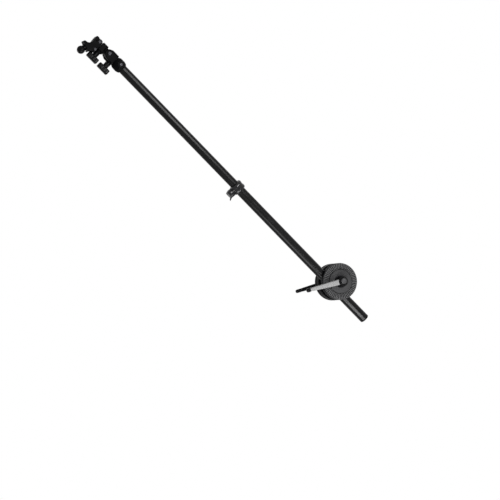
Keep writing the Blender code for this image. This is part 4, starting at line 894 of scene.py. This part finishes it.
@dataclass
class ClampHead:
    """The knobs of the clamp head at the boom's upper end. A screw's bore is (radius, start, end)."""

    shop: Workshop
    swivel_knob_place: float = 0.0070
    jaw_knob_place: float = 0.0074
    neck_profile: Points = (
        (0, 0.0168), (0.0069, 0.0168), (0.0074, 0.0173), (0.0075, 0.0182), (0.0071, 0.0228), (0.0072, 0.0265),
        (0.0078, 0.0295), (0, 0.0295),
    )
    neck_edge: float = 0.0003
    bar_near: float = 0.0275
    bar_far: float = 0.0410
    bar_length: float = 0.0325
    bar_width: float = 0.0115
    bar_edge: float = 0.0026
    hollow_radius: float = 0.0030
    hollow_reach: float = 0.02
    hollow_rise: float = 0.0024
    hollow_depth: float = 0.0345
    hollow_places: tuple[float, ...] = (-0.0085, 0.0, 0.0085)
    screw_bore: tuple[float, float, float] = (0.0033, 0.0158, 0.0261)
    ball_radius: float = 0.0102
    ball_end: Points = ((0, 0.94), (0.30, 0.93))
    ball_arc: range = range(-66, 37, 6)
    ball_root: Points = ((0.0002, 0.72), (0.0, 0.80))
    ball_neck: float = 0.0072
    ball_seat: float = -0.0290
    ball_edge: float = 0.0003
    ball_bore: tuple[float, float] = (0.0028, -0.0033)
    ball_height: float = -0.0412
    ball_place: float = 0.0412
    ball_tilt: float = math.radians(14.0)

    def finger_hollows(self, place: Matrix) -> list[bpy.types.Object]:
        """Make the forms that press the finger hollows into both sides of a T-knob's bar."""
        hollows = []
        for side in (-1, 1):
            for along in self.hollow_places:
                form = self.shop.rod(self.hollow_radius, -self.hollow_reach, self.hollow_reach, 40)
                out = side * (self.bar_width / 2 + self.hollow_rise)
                turn = Matrix.Translation((0, out, along)) @ Lay.ACROSS.value
                turn = Matrix.Translation((-self.hollow_depth, 0, 0)) @ turn
                hollows.append(self.shop.piece("finger_hollow", form, place @ turn, BLACK_NYLON))
        return hollows

    def t_knob(self, name: str, along: float, body: str, node: str) -> None:
        """Mould a T-knob: a round neck and a bar with finger hollows.

        Args:
            name: the piece's name.
            along: its place up the boom.
            body: the body that it rides on.
            node: the node that it stands for.
        """
        place = boom_frame(along)
        item = self.shop.piece(name, self.shop.lathe(self.neck_profile, 64), place @ Lay.ACROSS.value, BLACK_NYLON)
        side, half = self.bar_width / 2, self.bar_length / 2
        slab = self.shop.slab((-self.bar_far, -side, -half), (-self.bar_near, side, half))
        grip = self.shop.piece(name + "_bar", slab, place, BLACK_NYLON)
        self.shop.ease(grip, self.bar_edge, 5)
        self.shop.carve(grip, self.finger_hollows(place))
        self.shop.carve(item, [grip], "UNION")
        bore = self.shop.rod(*self.screw_bore)
        self.shop.carve(item, [self.shop.piece("screw_bore", bore, place @ Lay.ACROSS.value, BLACK_NYLON)])
        self.shop.ease(item, self.neck_edge, 2, 40)
        self.shop.fit(item, body, "nylon", node)

    def ball(self) -> None:
        """Turn the ball knob of the gap screw."""
        place = boom_frame(HUB_START) @ Matrix.Translation((self.ball_height, 0, self.ball_place))
        place = place @ Matrix.Rotation(math.radians(90) + self.ball_tilt, 4, "Y")
        seat = (self.ball_seat - self.ball_height) / math.cos(self.ball_tilt) - FACE_GAP
        radius, neck, edge = self.ball_radius, self.ball_neck, self.ball_edge
        bore, bore_end = self.ball_bore
        profile = [(radius * share, -radius * drop) for share, drop in self.ball_end]
        for turn in map(math.radians, self.ball_arc):
            profile.append((radius * math.cos(turn), radius * math.sin(turn)))
        profile += [(neck + fuller, radius * share) for fuller, share in self.ball_root]
        profile += [(neck, seat - edge), (neck - edge, seat), (bore, seat), (bore, bore_end), (0, bore_end)]
        item = self.shop.piece("gap_knob_turned", self.shop.lathe(profile, 64), place, BLACK_NYLON)
        self.shop.fit(item, "gap_adjuster", "nylon", "gap_knob")

    def build(self) -> None:
        """Make the knobs of the head."""
        self.t_knob("swivel_knob_moulded", BLOCK_START + self.swivel_knob_place, "swivel_lock", "swivel_knob")
        self.t_knob("jaw_knob_moulded", HUB_START + self.jaw_knob_place, "jaw_lock", "jaw_knob")
        self.ball()


@dataclass
class Studio:
    """The camera of the photo, a plain pale floor and soft light."""

    azimuth: float = -20.0
    elevation: float = -2.6
    distance: float = 6.8
    lens: float = 195.8
    sight_limit: float = 100.0
    aim: tuple[float, float, float] = (-0.204, 0.0279, 0.1193)
    floor_height: float = -1.25
    floor_reach: float = 14.0
    floor_points: int = 64
    floor_colour: tuple[float, float, float, float] = (0.86, 0.86, 0.86, 1.0)
    floor_rough: float = 0.9
    floor_gloss: float = 0.1
    floor_glow: float = 0.55
    fill: float = 0.20

    def camera_place(self) -> Vector:
        """Give the place from which the bracket is seen."""
        yaw = math.radians(self.azimuth)
        rise = math.radians(self.elevation)
        back = Vector((math.sin(yaw) * math.cos(rise), -math.cos(yaw) * math.cos(rise), math.sin(rise)))
        return Vector(self.aim) + back * self.distance

    def camera(self) -> bpy.types.Object:
        """Place the camera at the photo's viewing angle."""
        data = bpy.data.cameras.new("photo_camera")
        data.lens = self.lens
        data.clip_end = self.sight_limit
        made = bpy.data.objects.new("photo_camera", data)
        bpy.context.scene.collection.objects.link(made)
        made.location = self.camera_place()
        made.rotation_mode = "QUATERNION"
        made.rotation_quaternion = (Vector(self.aim) - made.location).to_track_quat("-Z", "Y")
        bpy.context.scene.camera = made
        return made

    def floor(self) -> bpy.types.Object:
        """Lay the pale floor."""
        mesh = bmesh.new()
        bmesh.ops.create_circle(mesh, cap_ends=True, segments=self.floor_points, radius=self.floor_reach)
        data = bpy.data.meshes.new("studio_floor")
        mesh.to_mesh(data)
        mesh.free()
        made = bpy.data.objects.new("studio_floor", data)
        made.location = (0, 0, self.floor_height)
        bpy.context.scene.collection.objects.link(made)
        paint = bpy.data.materials.new("floor_paint")
        paint.use_nodes = True
        graph = ShaderGraph(paint.node_tree)
        glow = graph.maths("MULTIPLY", self.direct_rays(graph), self.floor_glow)
        for name, value in (("Roughness", self.floor_rough), ("Specular IOR Level", self.floor_gloss),
                            ("Base Color", self.floor_colour), ("Emission Color", WHITE),
                            ("Emission Strength", glow)):
            graph.feed(paint.node_tree.nodes["Principled BSDF"].inputs[name], value)
        data.materials.append(paint)
        return made

    def sky(self) -> None:
        """Set the even light of the room, white where it is seen or mirrored."""
        world = bpy.data.worlds.new("studio_world")
        world.use_nodes = True
        bpy.context.scene.world = world
        graph = ShaderGraph(world.node_tree)
        shader = world.node_tree.nodes["Background"].inputs
        graph.feed(shader["Strength"], graph.maths("MAXIMUM", self.direct_rays(graph), self.fill))
        shader["Color"].default_value = WHITE

    def direct_rays(self, graph: ShaderGraph) -> bpy.types.NodeSocket:
        """Tell seen, mirrored and transmitted rays, which meet white, from the light that falls on the piece."""
        ray = graph.add("LightPath").outputs
        seen = graph.maths("MAXIMUM", ray["Is Camera Ray"], ray["Is Transmission Ray"])
        return graph.maths("MAXIMUM", seen, ray["Is Glossy Ray"])

    def lamp(self, name: str, lean: float, along: float, distance: float, across: float, length: float,
             light: float) -> bpy.types.Object:
        """Hang a soft box where the boom shows it as a stripe.

        Args:
            name: the lamp's name.
            lean: how far the stripe lies round the boom towards its upper side, in degrees.
            along: the middle of the stripe, as a distance up the boom.
            distance: how far the box hangs from the boom.
            across: its side across the boom.
            length: its side along the boom.
            light: the light that falls on a face turned to it, where pi is the light of a plain white sky.

        Returns:
            The lamp.
        """
        spot = boom_frame(along).translation
        axis = boom_frame().to_3x3() @ Vector((0, 0, 1))
        sight = (self.camera_place() - spot).normalized()
        outward = (sight - axis * sight.dot(axis)).normalized()
        upward = outward.cross(axis)
        upward *= math.copysign(1.0, upward.z)
        normal = outward * math.cos(math.radians(lean)) + upward * math.sin(math.radians(lean))
        way = normal * (2 * sight.dot(normal)) - sight
        data = bpy.data.lights.new(name, "AREA")
        data.shape = "RECTANGLE"
        data.size = length
        data.size_y = across
        data.energy = light * math.pi * distance ** 2
        made = bpy.data.objects.new(name, data)
        bpy.context.scene.collection.objects.link(made)
        side = (axis - way * axis.dot(way)).normalized()
        turn = Matrix((side, way.cross(side), way)).transposed().to_4x4()
        made.matrix_world = Matrix.Translation(spot + way * distance) @ turn
        return made

    def build(self) -> None:
        """Set up the whole studio."""
        view = bpy.context.scene.view_settings
        view.view_transform = "Standard"
        self.camera()
        self.floor()
        self.sky()
        self.lamp("front_box", lean=18, along=0.63, distance=3.6, across=3.1, length=0.44, light=1.4)
        self.lamp("low_box", lean=-21, along=0.12, distance=1.4, across=0.85, length=0.32, light=0.75)
        self.lamp("tail_box", lean=-10, along=-0.09, distance=1.4, across=1.7, length=0.11, light=2.2)


def main() -> None:
    """Build the studio, then dress every piece of the bracket."""
    logging.basicConfig(level=logging.INFO)
    Studio().build()
    wardrobe = Wardrobe()
    wardrobe.dress_frame()
    shop = Workshop(wardrobe)
    for assembly in (Boom(shop), DiscGrip(shop), StandLock(shop), ClampHead(shop)):
        assembly.build()


if __name__ == "__main__":
    main()
